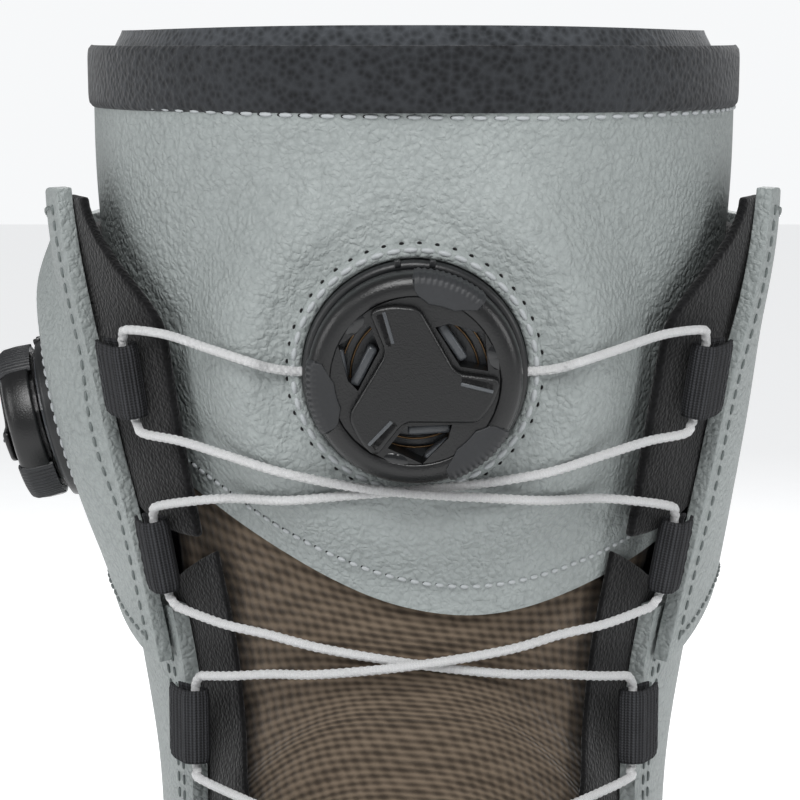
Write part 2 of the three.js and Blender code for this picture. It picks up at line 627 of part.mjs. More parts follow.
dial("side_dial", sidePlace, sideAxis, SIDE_KNOB_D / 33, CUFF_WALL, 26);

// ---- Webbing loops: a strap folded round the lace, its ends sewn under the edge behind it ----
// Height of the channel's middle, its angle from the front line, and its height over the skin.
const LOOPS = [
  { z: 237, tau: 49, lift: 3.1, length: 8.6 },
  { z: 208, tau: 49.5, lift: 3.1, length: 6 },
  { z: 179, tau: 46.5, lift: 2.4, length: 9.5 },
  { z: 154, tau: 39, lift: 2.6, length: 9 },
  { z: 134, tau: 25, lift: 2.8, length: 8 },
];
function loopPlace(index, sign) {
  const { z, tau, lift } = LOOPS[index];
  const side = sign * tau;
  const s = ringAt(z, side);
  const at = skin(s, side, lift);
  const up = skin(s + 0.2, side, lift).sub(skin(s - 0.2, side, lift)).normalize();
  const n = normal(s, side);
  const out = skin(s, side + sign * 2, lift).sub(at);
  out.addScaledVector(up, -out.dot(up)).normalize();
  return { at, up, n: n.addScaledVector(up, -n.dot(up)).normalize(), out };
}
function loopSolid(index, sign) {
  const { at, up, out } = loopPlace(index, sign);
  const n = out.clone().cross(up).multiplyScalar(sign);
  const length = LOOPS[index].length;
  const outline = new THREE.Shape([
    new THREE.Vector2(length, -1.5), new THREE.Vector2(length, 0.3), new THREE.Vector2(length * 0.55, 1.5),
    ...[70, 100, 140, 180, 220, 260, 290].map((a) => polar(2.15, a)), new THREE.Vector2(length * 0.5, -1.7),
  ]);
  const channel = new THREE.Path();
  channel.setFromPoints([0, 1, 2, 3, 4, 5, 6, 7].map((i) => polar(LACE_HOLE_D / 2, 45 * i + 22.5)).reverse());
  outline.holes.push(channel);
  const g = new THREE.ExtrudeGeometry(outline, { depth: LOOP_WIDTH, bevelEnabled: false });
  g.translate(0, 0, -LOOP_WIDTH / 2);
  g.applyMatrix4(new THREE.Matrix4().makeBasis(out, n, up));
  return g.translate(...at.toArray());
}
LOOPS.forEach((_, i) => {
  piece(`loop_outer_${i + 1}`, loopSolid(i, -1), "webbing");
  piece(`loop_inner_${i + 1}`, loopSolid(i, 1), "webbing");
});

// ---- Lace ----
// A cord whose sections stand exactly at the given points.
class Route extends THREE.Curve {
  constructor(points) {
    super();
    this.points = points;
  }
  getPoint(t) {
    const x = clamp(t, 0, 1) * (this.points.length - 1);
    const i = Math.min(Math.floor(x), this.points.length - 2);
    return this.points[i].clone().lerp(this.points[i + 1], x - i);
  }
  getPointAt(t) {
    return this.getPoint(t);
  }
  getTangentAt(t) {
    const step = 0.5 / (this.points.length - 1);
    return this.getPoint(t + step).sub(this.getPoint(t - step)).normalize();
  }
}
function cord(points) {
  const section = new THREE.Shape([0, 1, 2, 3, 4, 5, 6, 7].map((i) => polar(LACE_D / 2, 45 * i)));
  return new THREE.ExtrudeGeometry(section, { steps: points.length - 1, extrudePath: new Route(points) });
}
// The lace's points through a loop, from above; the bends lie just outside the webbing.
function throughLoop(index, sign) {
  const { at, up, out } = loopPlace(index, sign);
  const on = (along, away) => at.clone().addScaledVector(up, along).addScaledVector(out, away);
  const half = LOOP_WIDTH / 2;
  return [
    on(half + 2.6, -2.2), on(half + 1.3, -0.5), on(half - 0.8, 0),
    on(0.8 - half, 0), on(-half - 1.3, -0.5), on(-half - 2.6, -2.2),
  ];
}
// Points over the tongue at heights and angles from the front line, at a lift over the skin.
const over = (z, tau, lift) => {
  const p = skin(ringAt(z, tau), tau, lift);
  return seat(p, frontPlace, frontAxis, -lift - TONGUE_DEPTH, FRONT_SEAT_R);
};
const CROSS_STEP = 2; // one lace passes over the other by this much
function upperLace(sign) {
  const axisX = (x, h) => frontPlace.clone().add(new THREE.Vector3(sign * x, 0, 0)).addScaledVector(frontAxis, h);
  const bump = sign < 0 ? CROSS_STEP : 0;
  const far = -sign;
  return [
    axisX(13.6, 1.2), axisX(18.6, 1.2), axisX(22.5, 1.3).setZ(240.75),
    over(241.9, sign * 26, -2.7), over(243.2, sign * 33, -1.6), over(244.8, sign * 40, 1.4),
    ...throughLoop(0, sign),
    over(227.6, sign * 40, 1.5), over(226, sign * 32, -1.4),
    over(224.2, sign * 22, -2.9), over(222.3, sign * 10, -3.2 + bump * 0.6), over(221.2, 0, -3.2 + bump),
    over(220.4, far * 10, -3.2 + bump * 0.6),
    over(219.4, far * 22, -2.9), over(218.2, far * 33, -1.2), over(217.6, far * 41, 1.6),
    ...throughLoop(1, far),
  ];
}
function crossingLace(sign) { // from loop 2 on this side down to loop 3 on the other
  const bump = sign > 0 ? CROSS_STEP : 0;
  const start = throughLoop(1, sign).at(-1);
  const end = throughLoop(2, -sign)[0];
  return [
    start, over(197.5, sign * 38, 1.2), over(196, sign * 30, -1.8), over(194.4, sign * 18, -4.2 + bump * 0.5),
    over(192.8, 0, -5 + bump), over(190.8, -sign * 18, -4.2 + bump * 0.5), over(189.6, -sign * 30, -2.2),
    over(188.6, -sign * 38, 0.4), end,
  ];
}
const JOINT_TRIM = 0.7; // where one stretch of the lace ends and the next begins
const joinGap = (points) => {
  const trimmed = points.slice();
  const [a, b] = [trimmed[0], trimmed[1]];
  trimmed[0] = a.clone().add(b.clone().sub(a).setLength(JOINT_TRIM));
  const [c, d] = trimmed.slice(-2);
  trimmed[trimmed.length - 1] = d.clone().add(c.clone().sub(d).setLength(JOINT_TRIM));
  return trimmed;
};
piece("lace_upper_a", cord(upperLace(-1)), "lace");
piece("lace_upper_b", cord(upperLace(1)), "lace");
piece("lace_crossing_a", cord(joinGap(crossingLace(1))), "lace");
piece("lace_crossing_b", cord(joinGap(crossingLace(-1))), "lace");
function lowerCross(index, sign) { // from loop `index` on this side to the next loop on the other
  const [from, to] = [LOOPS[index], LOOPS[index + 1]];
  const z = (from.z + to.z) / 2;
  const lift = lerp(-3.4, -1.4, (index - 2) / 2);
  const bump = sign < 0 ? CROSS_STEP : 0;
  return [
    over(z + 2.5, sign * from.tau * 0.62, lift + 1.6), over(z + 1, sign * from.tau * 0.3, lift + bump * 0.7 + 0.4),
    over(z, 0, lift + bump), over(z - 1, -sign * from.tau * 0.28, lift + bump * 0.7 + 0.4),
    over(z - 2.4, -sign * to.tau * 0.66, lift + 1.6),
  ];
}
const down = (sign) => [
  ...throughLoop(2, sign), ...lowerCross(2, sign), ...throughLoop(3, -sign), ...lowerCross(3, -sign),
  ...throughLoop(4, sign),
];
const bottom = [over(124.5, -12, 1.2), over(124, 0, 1.2), over(124.5, 12, 1.2)];
piece("lace_lower", cord([...down(-1), ...bottom, ...down(1).reverse()]), "lace");

export default boot;
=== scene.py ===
"""Snowboard boot: the visible pieces and their finishes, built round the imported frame."""
import json
import math

import bmesh
import bpy
import numpy as np
from mathutils import Matrix, Vector


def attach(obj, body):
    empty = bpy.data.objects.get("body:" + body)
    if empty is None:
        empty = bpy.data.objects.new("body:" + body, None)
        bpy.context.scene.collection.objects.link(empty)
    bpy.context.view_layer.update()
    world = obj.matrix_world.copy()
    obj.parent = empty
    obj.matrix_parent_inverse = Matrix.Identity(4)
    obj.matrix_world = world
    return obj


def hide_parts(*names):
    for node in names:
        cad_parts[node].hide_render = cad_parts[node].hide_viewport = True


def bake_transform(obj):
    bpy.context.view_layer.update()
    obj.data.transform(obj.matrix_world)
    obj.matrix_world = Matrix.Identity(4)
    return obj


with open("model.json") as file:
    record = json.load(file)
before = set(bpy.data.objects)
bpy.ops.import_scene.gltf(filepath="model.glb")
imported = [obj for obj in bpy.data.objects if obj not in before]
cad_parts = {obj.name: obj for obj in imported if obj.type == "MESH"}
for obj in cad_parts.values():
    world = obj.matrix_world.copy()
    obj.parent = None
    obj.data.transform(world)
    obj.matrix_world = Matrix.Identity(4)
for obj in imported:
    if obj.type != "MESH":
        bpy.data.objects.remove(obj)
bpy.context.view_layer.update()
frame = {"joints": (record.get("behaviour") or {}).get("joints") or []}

bl_info = {
    "name": "Snowboard boot",
    "version": (1, 0, 0),
    "blender": (4, 5, 0),
    "location": "View3D > Sidebar > Boot",
    "description": "Builds the boot's leather, cloth, dials, lace and sole round its frame",
    "category": "Object",
}

MM = 0.001
SOLE_TOP = 36.4
TURN = 2 * math.pi

# ---- Sizes of the upper, in millimetres, as in the part's source ----
STATIONS = np.array([
    [-155, 51, -155, 33, 18, 9, 2.2],
    [-149, 71, -148, 28, 35, 8, 2.3],
    [-134, 86, -134, 27, 46, 6, 2.5],
    [-108, 97, -110, 27, 52.5, 3, 2.6],
    [-78, 109, -82, 27, 54.5, 0, 2.6],
    [-49, 123, -50, 27, 52.5, -1, 2.6],
    [-26, 140, -12, 27, 49.5, -1, 2.5],
    [-11, 156, 38, 27, 46.5, 0, 2.5],
    [-4, 168, 84, 27, 45, 0, 2.5],
    [-1, 177, 116, 29, 44.5, 0, 2.4],
    [0, 186, 138, 44, 44.5, 0, 2.4],
    [1, 194, 147, 72, 44.5, 0, 2.3],
    [1, 204, 148, 112, 45.5, 0, 2.3],
    [0, 217, 144, 152, 49, 0, 2.3],
    [-2, 233, 140, 194, 53.5, 0, 2.3],
    [-4, 250, 137, 230, 57, 0, 2.3],
    [-6, 270, 136, 262, 59, 0, 2.3],
    [-8, 292, 137, 292, 59.5, 0, 2.3],
])
TOP = len(STATIONS) - 1
GAP = 0.4
SHELL_WALL = 2.6
CUFF_WALL = 2.6
CUFF_LIFT = 0.7
CUFF_HEEL_LIFT = 3.2
TONGUE_DEPTH = 4.4
PANEL_WALL = 1.6
LINER_WALL = 7
THROAT_START = 4.6
TONGUE_TOP = 290


# ---- The skin that every soft panel follows ----
def smooth(x, a, b):
    t = np.clip((np.asarray(x, float) - a) / (b - a), 0, 1)
    return t * t * (3 - 2 * t)


def mix(a, b, t):
    return a + (b - a) * t


def station(s):
    s = np.asarray(s, float)
    i = np.clip(np.floor(s).astype(int), 0, TOP - 1)
    t = (s - i)[..., None]
    a, b, c, d = (STATIONS[np.clip(i + k, 0, TOP)] for k in (-1, 0, 1, 2))
    return 0.5 * (2 * b + (c - a) * t + (2 * a - 5 * b + 4 * c - d) * t ** 2
        + (3 * b - a - 3 * c + d) * t ** 3)


def signed_power(x, p):
    return np.sign(x) * np.abs(x) ** p


def bare(s, tau):
    """Skin points in millimetres at ring s and angle tau, 0 in front and 90 on the inner side."""
    fy, fz, by, bz, w, shift, n = np.moveaxis(station(s), -1, 0)
    a = np.radians(tau)
    along = signed_power(np.cos(a), 2 / n)
    side = signed_power(np.sin(a), 2 / n)
    return np.stack([
        shift + w * side,
        (fy + by) / 2 + (fy - by) / 2 * along,
        (fz + bz) / 2 + (fz - bz) / 2 * along,
    ], -1)


def normal(s, tau):
    s0 = np.maximum(s - 0.05, 0.02)
    along = bare(np.minimum(s0 + 0.1, TOP), tau) - bare(s0, tau)
    across = bare(s, tau + 1.5) - bare(s, tau - 1.5)
    n = np.cross(across, along)
    return n / np.linalg.norm(n, axis=-1, keepdims=True)


def skin(s, tau, lift):
    s, tau, lift = np.broadcast_arrays(np.asarray(s, float), np.asarray(tau, float),
        np.asarray(lift, float))
    return bare(s, tau) + normal(s, tau) * lift[..., None]


def ring_at(z, tau):
    """The ring whose skin at tau is at height z, from the instep up."""
    z, tau = np.broadcast_arrays(np.asarray(z, float), np.asarray(tau, float))
    low, high = np.full(z.shape, 5.0), np.full(z.shape, float(TOP))
    for _ in range(30):
        middle = (low + high) / 2
        under = bare(middle, tau)[..., 2] < z
        low, high = np.where(under, middle, low), np.where(under, high, middle)
    return (low + high) / 2


def from_front(tau):
    return np.abs((np.asarray(tau, float) + 180) % 360 - 180)


def throat_edge(s):
    return 57 * (1 - np.exp(-np.maximum(s - THROAT_START, 0) / 2.2))


def shell_top(tau):
    a = from_front(tau)
    return 197 + 8 * smooth(a, 60, 90) - 62 * smooth(a, 88, 178)


def cuff_low(tau):
    a = from_front(tau)
    return 188 + 8 * smooth(a, 55, 85) - 68 * smooth(a, 84, 178)


def cuff_high(tau):
    a = from_front(tau)
    return 267 - 8 * smooth(a, 66, 100) + 14 * smooth(a, 110, 178)


def cuff_lift(tau):
    return CUFF_LIFT + CUFF_HEEL_LIFT * smooth(from_front(tau), 85, 150)


def flare(tau, u):
    return 2.2 * smooth(u, 0.55, 1) * (1 - smooth(from_front(tau), 62, 88))


def panel_low(x):
    return 200 + 0.008 * (x - 12) ** 2


def liner_lift(s, tau):
    return -5.4 - 6.1 * (1 - smooth(from_front(tau), 72, 104)) * smooth(s, 2.4, 4.1)


def side_of_front(place, axis, up=Vector((0, 0, 1))):
    """Axes of a dial: x and y in its face, z out along its axle."""
    z = Vector(axis).normalized()
    x = up.cross(z).normalized()
    return Matrix.Translation(Vector(place)) @ Matrix((x, z.cross(x), z)).transposed().to_4x4()


FRONT_AXIS = np.array([0, -math.cos(math.radians(4)), -math.sin(math.radians(4))])
SIDE_AXIS = np.array([-math.cos(math.radians(14)), 0, -math.sin(math.radians(14))])
JOINTS = {joint["name"]: joint for joint in frame["joints"]}
FRONT_PLACE = np.array(JOINTS["front_dial_turn"]["pos_m"]) / MM
SIDE_PLACE = np.array(JOINTS["side_dial_turn"]["pos_m"]) / MM
FRONT_K = 1.0
SIDE_K = 27 / 33


def seat(p, place, axis, height_in, radius):
    """Presses points near a dial onto the plane at height_in over the dial's seat."""
    rel = p - place
    height = rel @ axis
    r = np.linalg.norm(rel - height[..., None] * axis, axis=-1)
    weight = np.where(height > -20, 1 - smooth(r, radius, radius + 14), 0)
    return p + axis * ((height_in - height) * weight)[..., None]


# ---- Finishes ----
def tint(code):
    """A display colour such as "969c9b", or a panel colour, as linear RGBA."""
    if not isinstance(code, str):
        return tuple(code)[:3] + (1.0,)
    values = [int(code[i:i + 2], 16) / 255 for i in (0, 2, 4)]
    return tuple(c / 12.92 if c <= 0.04045 else ((c + 0.055) / 1.055) ** 2.4
        for c in values) + (1.0,)


class Value:
    """A shader socket that takes part in Python arithmetic."""

    def __init__(self, recipe, socket):
        self.recipe = recipe
        self.socket = socket

    def math(self, operation, *others):
        return self.recipe.node("ShaderNodeMath", {"operation": operation},
            dict(enumerate((self, *others))))

    def __add__(self, other):
        return self.math("ADD", other)

    __radd__ = __add__

    def __mul__(self, other):
        return self.math("MULTIPLY", other)

    __rmul__ = __mul__

    def __sub__(self, other):
        return self.math("SUBTRACT", other)

    def __rsub__(self, other):
        return self * -1 + other

    def sin(self):
        return self.math("SINE")

    def size(self):
        return self.math("ABSOLUTE")

    def power(self, exponent):
        return self.math("POWER", exponent)

    def step(self, low, high):
        return self.recipe.node(
            "ShaderNodeMapRange", {"interpolation_type": "SMOOTHSTEP"}, {0: self, 1: low, 2: high},
        )


class Recipe:
    """One finish: a Principled shader and the nodes that feed it."""

    def __init__(self, name):
        self.material = bpy.data.materials.new(name)
        self.material.use_nodes = True
        self.tree = self.material.node_tree
        self.shader = self.tree.nodes["Principled BSDF"]
        self.coordinates = self.tree.nodes.new("ShaderNodeTexCoord")

    def node(self, kind, settings, values, out=0):
        made = self.tree.nodes.new(kind)
        for key, value in settings.items():
            setattr(made, key, value)
        for key, value in values.items():
            if isinstance(value, Value):
                self.tree.links.new(value.socket, made.inputs[key])
            else:
                made.inputs[key].default_value = value
        return Value(self, made.outputs[out])

    def place(self, kind="Object"):
        return Value(self, self.coordinates.outputs[kind])

    def along(self, kind="UV"):
        place = self.place(kind)
        return [self.node("ShaderNodeSeparateXYZ", {}, {0: place}, axis) for axis in range(3)]

    def noise(self, scale, detail=3.0, roughness=0.5, where=None):
        return self.node("ShaderNodeTexNoise", {}, {
            "Vector": where or self.place(), "Scale": scale, "Detail": detail,
            "Roughness": roughness,
        })

    def grains(self, scale, feature="F1", where=None, randomness=1.0):
        return self.node("ShaderNodeTexVoronoi", {"feature": feature}, {
            "Vector": where or self.place(), "Scale": scale, "Randomness": randomness,
        })

    def blend(self, mask, low, high):
        made = self.tree.nodes.new("ShaderNodeMix")
        made.data_type = "RGBA"
        self.tree.links.new(mask.socket, made.inputs["Factor"])
        for key, value in ((6, low), (7, high)):
            if isinstance(value, Value):
                self.tree.links.new(value.socket, made.inputs[key])
            else:
                made.inputs[key].default_value = value
        return Value(self, made.outputs[2])

    def bump(self, height, distance, strength=1.0, under=None):
        values = {"Height": height, "Distance": distance, "Strength": strength}
        if under:
            values["Normal"] = under
        return self.node("ShaderNodeBump", {}, values)

    def finish(self, **inputs):
        for key, value in inputs.items():
            socket = self.shader.inputs[key.replace("_", " ")]
            if isinstance(value, Value):
                self.tree.links.new(value.socket, socket)
            else:
                socket.default_value = value
        return self.material


def leather(name, light, dark, pebble=980.0, depth=0.00045):
    """Pebbled leather: soft round grains of uneven size, coloured lighter on their tops and darker
    in the hollows between them as painted shade.
    """
    r = Recipe(name)
    sway = r.node("ShaderNodeVectorMath", {"operation": "MULTIPLY_ADD"}, {
        0: r.node("ShaderNodeTexNoise", {}, {"Vector": r.place(), "Scale": 420.0, "Detail": 2.0},
            1),
        1: (0.0016, 0.0016, 0.0016), 2: r.place(),
    })
    grain = 1 - r.grains(pebble, where=sway)
    small = 1 - r.grains(pebble * 2.3, where=sway)
    pores = r.noise(2600.0, 2.0)
    patch = r.noise(150.0, 3.0).step(0.35, 0.65)
    cloud = r.noise(16.0, 3.0).step(0.3, 0.75)
    height = grain * (patch * 0.3 + 0.7) + small * 0.25 + pores * 0.1
    # Colour mask: random clouds and noise give the leather's own uneven tone; the grain term is
    # painted shade that darkens the hollows between grains.
    shade = cloud * 0.45 + grain.step(0.1, 0.7) * 0.3 + r.noise(320.0, 3.0) * 0.25
    return r.finish(
        Base_Color=r.blend(shade, tint(dark), tint(light)),
        Roughness=0.56 - grain * 0.1 + cloud * 0.06,
        Normal=r.bump(height, depth, 0.9), Specular_IOR_Level=0.5,
    )


def knit(name, light, dark):
    """Ribbed knit on a map in millimetres: fine courses along v, broken by slanting floats."""
    r = Recipe(name)
    u, v, _ = r.along()
    sway = r.noise(420.0, 2.0)
    course = (u * (TURN / 1.7) + sway * 1.5).sin() * 0.5 + 0.5
    wale = ((v + u * 0.3) * (TURN / 2.1) + sway * 1.2).sin() * 0.5 + 0.5
    floats = ((v * 0.5 - u) * (TURN / 5.4) + r.noise(90.0, 2.0) * 2.5).sin() * 0.5 + 0.5
    loops = course * 0.62 + wale * 0.38
    fuzz = r.noise(2200.0, 3.0)
    mask = (loops * 0.62 + floats * 0.16 + r.noise(150.0, 4.0) * 0.3 + fuzz * 0.14).step(0.15,
        1.05)
    return r.finish(
        Base_Color=r.blend(mask, tint(dark), tint(light)), Roughness=0.93,
        Normal=r.bump(loops * 0.9 + floats * 0.35 + fuzz * 0.3, 0.0004, 0.75),
        Specular_IOR_Level=0.15, Sheen_Weight=0.12,
    )


def cloth(name, light, dark, scale=1400.0):
    """Dense short-nap lining."""
    r = Recipe(name)
    cells = r.grains(scale)
    nap = r.noise(scale * 1.7, 3.0)
    mask = (cells * 0.6 + r.noise(45.0, 3.0) * 0.6).step(0.2, 0.9)
    return r.finish(
        Base_Color=r.blend(mask, tint(dark), tint(light)), Roughness=0.95,
        Normal=r.bump(cells + nap * 0.5, 0.0003, 0.7), Specular_IOR_Level=0.2, Sheen_Weight=0.15,
    )


def ribbed(name, light, dark, pitch=0.62):
    """Woven webbing on a map in millimetres, ribs along v."""
    r = Recipe(name)
    u, v, _ = r.along()
    rib = (u * (TURN / pitch)).sin() * 0.5 + 0.5
    pick = (v * (TURN / 0.45) + rib * 2.5).sin() * 0.5 + 0.5
    mask = (rib * 0.6 + pick * 0.25 + r.noise(300.0, 3.0) * 0.3).step(0.1, 1.0)
    return r.finish(
        Base_Color=r.blend(mask, tint(dark), tint(light)), Roughness=0.82,
        Normal=r.bump(rib + pick * 0.4, 0.00022, 0.8), Specular_IOR_Level=0.3,
    )


def braid(name, light, dark):
    """Braided cord on a map of turns round it and millimetres along it, coloured darker in the gaps
    between its strands as painted shade.
    """
    r = Recipe(name)
    along, around, _ = r.along()
    right = (around * (TURN * 4) + along * (TURN / 1.9)).sin()
    left = (around * (TURN * 4) - along * (TURN / 1.9)).sin()
    strands = (right * left).size().power(0.5)
    # The dark colour fills the gaps between strands as painted shade.
    return r.finish(
        Base_Color=r.blend(strands.step(0.08, 0.6), tint(dark), tint(light)), Roughness=0.5,
        Normal=r.bump(strands, 0.00025, 0.9), Specular_IOR_Level=0.5, Sheen_Weight=0.1,
    )


def moulded(name, light, dark, rough=0.5, grain=2600.0, depth=0.00006, specular=0.5):
    """Moulded plastic or rubber with a fine spark-eroded grain and rubbed high spots."""
    r = Recipe(name)
    speck = r.noise(grain, 2.0)
    wear = r.noise(60.0, 4.0).step(0.35, 0.8)
    return r.finish(
        Base_Color=r.blend(wear * 0.6 + speck * 0.4, tint(dark), tint(light)),
        Roughness=rough + wear * 0.1 - speck * 0.08,
        Normal=r.bump(speck, depth, 0.6), Specular_IOR_Level=specular,
    )


def foam(name, light, dark):
    """Expanded sole foam: fine cells and a faint skin."""
    r = Recipe(name)
    cells = r.grains(900.0)
    soil = r.noise(30.0, 4.0).step(0.3, 0.9)
    return r.finish(
        Base_Color=r.blend(soil * 0.7 + cells * 0.3, tint(dark), tint(light)), Roughness=0.8,
        Normal=r.bump(cells, 0.00012, 0.6),
    )


def metal(name, light, dark):
    r = Recipe(name)
    turned = r.noise(1200.0, 2.0)
    return r.finish(
        Base_Color=r.blend(turned, tint(dark), tint(light)), Metallic=1.0,
        Roughness=0.28 + turned * 0.15,
        Normal=r.bump(turned, 0.00003, 0.4),
    )


FINISHES = {}


def mix_finishes(props):
    FINISHES.update(
        leather=leather("Pebbled leather", props.leather_light, props.leather_dark),
        # The second colour of each braided finish (thread, leather thread, lace) is painted shade
        # between the strands.
        thread=braid("Thread", "e2e4e3", "a4a8aa"),
        leather_thread=braid("Leather thread", "8f9695", "5f6665"),
        textile=knit("Ribbed knit", "6b5e50", "352d25"),
        # This black finish is the real lining cloth and also painted shade in needle holes and on
        # the dial caps.
        lining=cloth("Black lining and painted shade", "0d0d0f", "030303"),
        binding=cloth("Edge binding", "303235", "141517", 900.0),
        webbing=ribbed("Ribbed webbing", "36373a", "0d0d0f"),
        lace=braid("Braided lace", "fcfcfc", "a9adb0"),
        rand=moulded("Rand rubber", "26282a", "121314", 0.62, 900.0, 0.00012, 0.35),
        sole_rubber=moulded("Sole rubber", "232426", "101112", 0.72, 700.0, 0.00015, 0.3),
        liner=cloth("Liner knit", "4a4d51", "232527", 800.0),
        midsole=foam("Sole foam", "d9dad6", "b4b6b3"),
        board=foam("Lasting board", "97938a", "6f6b64"),
        dial_plastic=moulded("Dial housing", "1f2123", "121314", 0.4),
        dial_cap=moulded("Dial cap", "101112", "050506", 0.36, 3800.0, 0.00009),
        dial_grip=moulded("Dial grip", "2b2d30", "191a1c", 0.5, 1800.0),
        polished=moulded("Polished hollow", "1c1d1f", "101112", 0.12, 400.0, 0.00001, 0.6),
        dial_body=moulded("Dial knob", "151617", "0a0a0b", 0.32, 3200.0, 0.00007),
        # This grey serves the dial's inner works and the painted highlight bars on the caps.
        dial_inner=moulded("Dial works and cap highlights", "5c5f62", "33363a", 0.3),
        bronze=metal("Bronze wire", "a38565", "6b5238"),
        steel=metal("Axle steel", "c4c6c8", "96989a"),
        floor=moulded("Studio floor", "c8c8c8", "c2c2c2", 0.9, 200.0, 0.00002, 0.2),
    )


# ---- Making pieces ----
def grid(rows, columns, shape, span, edge_u=None, edge_v=None, closed=False, outward=True):
    """A grid bent by shape(u, v), in millimetres, with its map in millimetres of span."""
    bm = bmesh.new()
    layer = bm.loops.layers.uv.new("UVMap")
    bmesh.ops.create_grid(bm, x_segments=rows, y_segments=columns, size=0.5)
    flat = np.array([v.co[:2] for v in bm.verts]) + 0.5
    u, v = flat[:, 0], flat[:, 1]
    for face in bm.faces:
        for loop in face.loops:
            i = loop.vert.index
            loop[layer].uv = (u[i] * span[0], v[i] * span[1])
    for vert, point in zip(bm.verts,
            shape(edge_u(u) if edge_u else u, edge_v(v) if edge_v else v)):
        vert.co = Vector(point) * MM
    if closed:
        bmesh.ops.remove_doubles(bm, verts=bm.verts, dist=2e-5)
    if outward:
        bmesh.ops.reverse_faces(bm, faces=bm.faces)
    return bm


def punch(bm, place, axis, radius, reach=3.0):
    """A round hole through a skin at a dial, its rim drawn to a true circle."""
    place, axis = Vector(place) * MM, Vector(axis)

    def polar(vert):
        rel = vert.co - place
        height = rel.dot(axis)
        flat = rel - axis * height
        return flat, height
    inside = [v for v in bm.verts if polar(v)[0].length < radius * MM and abs(polar(v)[1]) < 0.012]
    bmesh.ops.delete(bm, geom=inside, context="VERTS")
    for vert in bm.verts:
        flat, height = polar(vert)
        if vert.is_boundary and flat.length < (radius + reach) * MM and abs(height) < 0.012:
            vert.co += flat.normalized() * radius * MM - flat
    return bm


def add(name, bm, finish, wall=0.0, rim=0.0, offset=-1, flat=False, levels=0):
    """A finished object from a bmesh, at the origin, with its modifiers applied."""
    mesh = bpy.data.meshes.new(name)
    bm.to_mesh(mesh)
    bm.free()
    for polygon in mesh.polygons:
        polygon.use_smooth = not flat
    piece = bpy.data.objects.new(name, mesh)
    bpy.context.scene.collection.objects.link(piece)
    if wall:
        solid = piece.modifiers.new("Wall", "SOLIDIFY")
        solid.thickness = wall * MM
        solid.offset = offset
    if rim:
        bevel = piece.modifiers.new("Rim", "BEVEL")
        bevel.width = rim * MM
        bevel.segments = 2
        bevel.limit_method = "ANGLE"
        bevel.angle_limit = math.radians(50)
    if levels:
        surface = piece.modifiers.new("Surface", "SUBSURF")
        surface.levels = surface.render_levels = levels
    if piece.modifiers:
        bpy.context.view_layer.update()
        depsgraph = bpy.context.evaluated_depsgraph_get()
        final = bpy.data.meshes.new_from_object(piece.evaluated_get(depsgraph))
        piece.modifiers.clear()
        piece.data = final
    piece.data.name = name
    piece.data.materials.clear()
    piece.data.materials.append(FINISHES[finish])
    return piece


def stands_for(piece, body, slot, *nodes):
    if body:
        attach(piece, body)
    if nodes:
        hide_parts(*nodes)
    return piece


def plaited(along, angle):
    """Strands of a braid, as a share of the cord's radius."""
    twist = along * (TURN / 2.4)
    return 0.82 + 0.24 * np.sqrt(np.abs(np.sin(1.5 * angle + twist) * np.sin(1.5 * angle - twist)))


def tube(points, radius, sides=10, turns=1.0, relief=None):
    """A cord along points in millimetres, closed at both ends, mapped in turns and millimetres."""
    points = np.asarray(points, float)
    length = np.concatenate([[0], np.cumsum(np.linalg.norm(np.diff(points, axis=0), axis=1))])
    tangent = np.gradient(points, axis=0)
    tangent /= np.linalg.norm(tangent, axis=1, keepdims=True)
    side = np.cross(tangent[0], (0, 0, 1) if abs(tangent[0][2]) < 0.9 else (1, 0, 0))
    frames = []
    for t in tangent:
        side = side - t * (side @ t)
        side = side / np.linalg.norm(side)
        frames.append((side, np.cross(t, side)))
    count = len(points) - 1
    frames = np.array(frames)

    def shape(u, v):
        at = np.rint(u * count).astype(int)
        angle = v * TURN
        round_ = frames[at, 0] * np.cos(angle)[:, None] + frames[at, 1] * np.sin(angle)[:, None]
        swell = relief(length[at], angle)[:, None] if relief else 1
        return points[at] + round_ * radius * swell
    bm = grid(count, sides, shape, (1, 1), closed=True, outward=False)
    layer = bm.loops.layers.uv.active
    for face in bm.faces:
        for loop in face.loops:
            loop[layer].uv = (loop[layer].uv[0] * length[-1], loop[layer].uv[1] * turns)
    open_edges = [e for e in bm.edges if e.is_boundary]
    bmesh.ops.holes_fill(bm, edges=open_edges, sides=0)
    bmesh.ops.recalc_face_normals(bm, faces=bm.faces)
    return bm


def rounded(points, steps):
    """A smooth cord path through the given points."""
    points = np.asarray(points, float)
    padded = np.vstack([2 * points[0] - points[1], points, 2 * points[-1] - points[-2]])
    path = []
    for i in range(1, len(padded) - 2):
        a, b, c, d = padded[i - 1:i + 3]
        count = max(2, int(np.linalg.norm(c - b) / steps))
        for k in range(count):
            t = k / count
            path.append(0.5 * (2 * b + (c - a) * t + (2 * a - 5 * b + 4 * c - d) * t * t
                + (3 * b - a - 3 * c + d) * t ** 3))
    path.append(points[-1])
    return np.array(path)


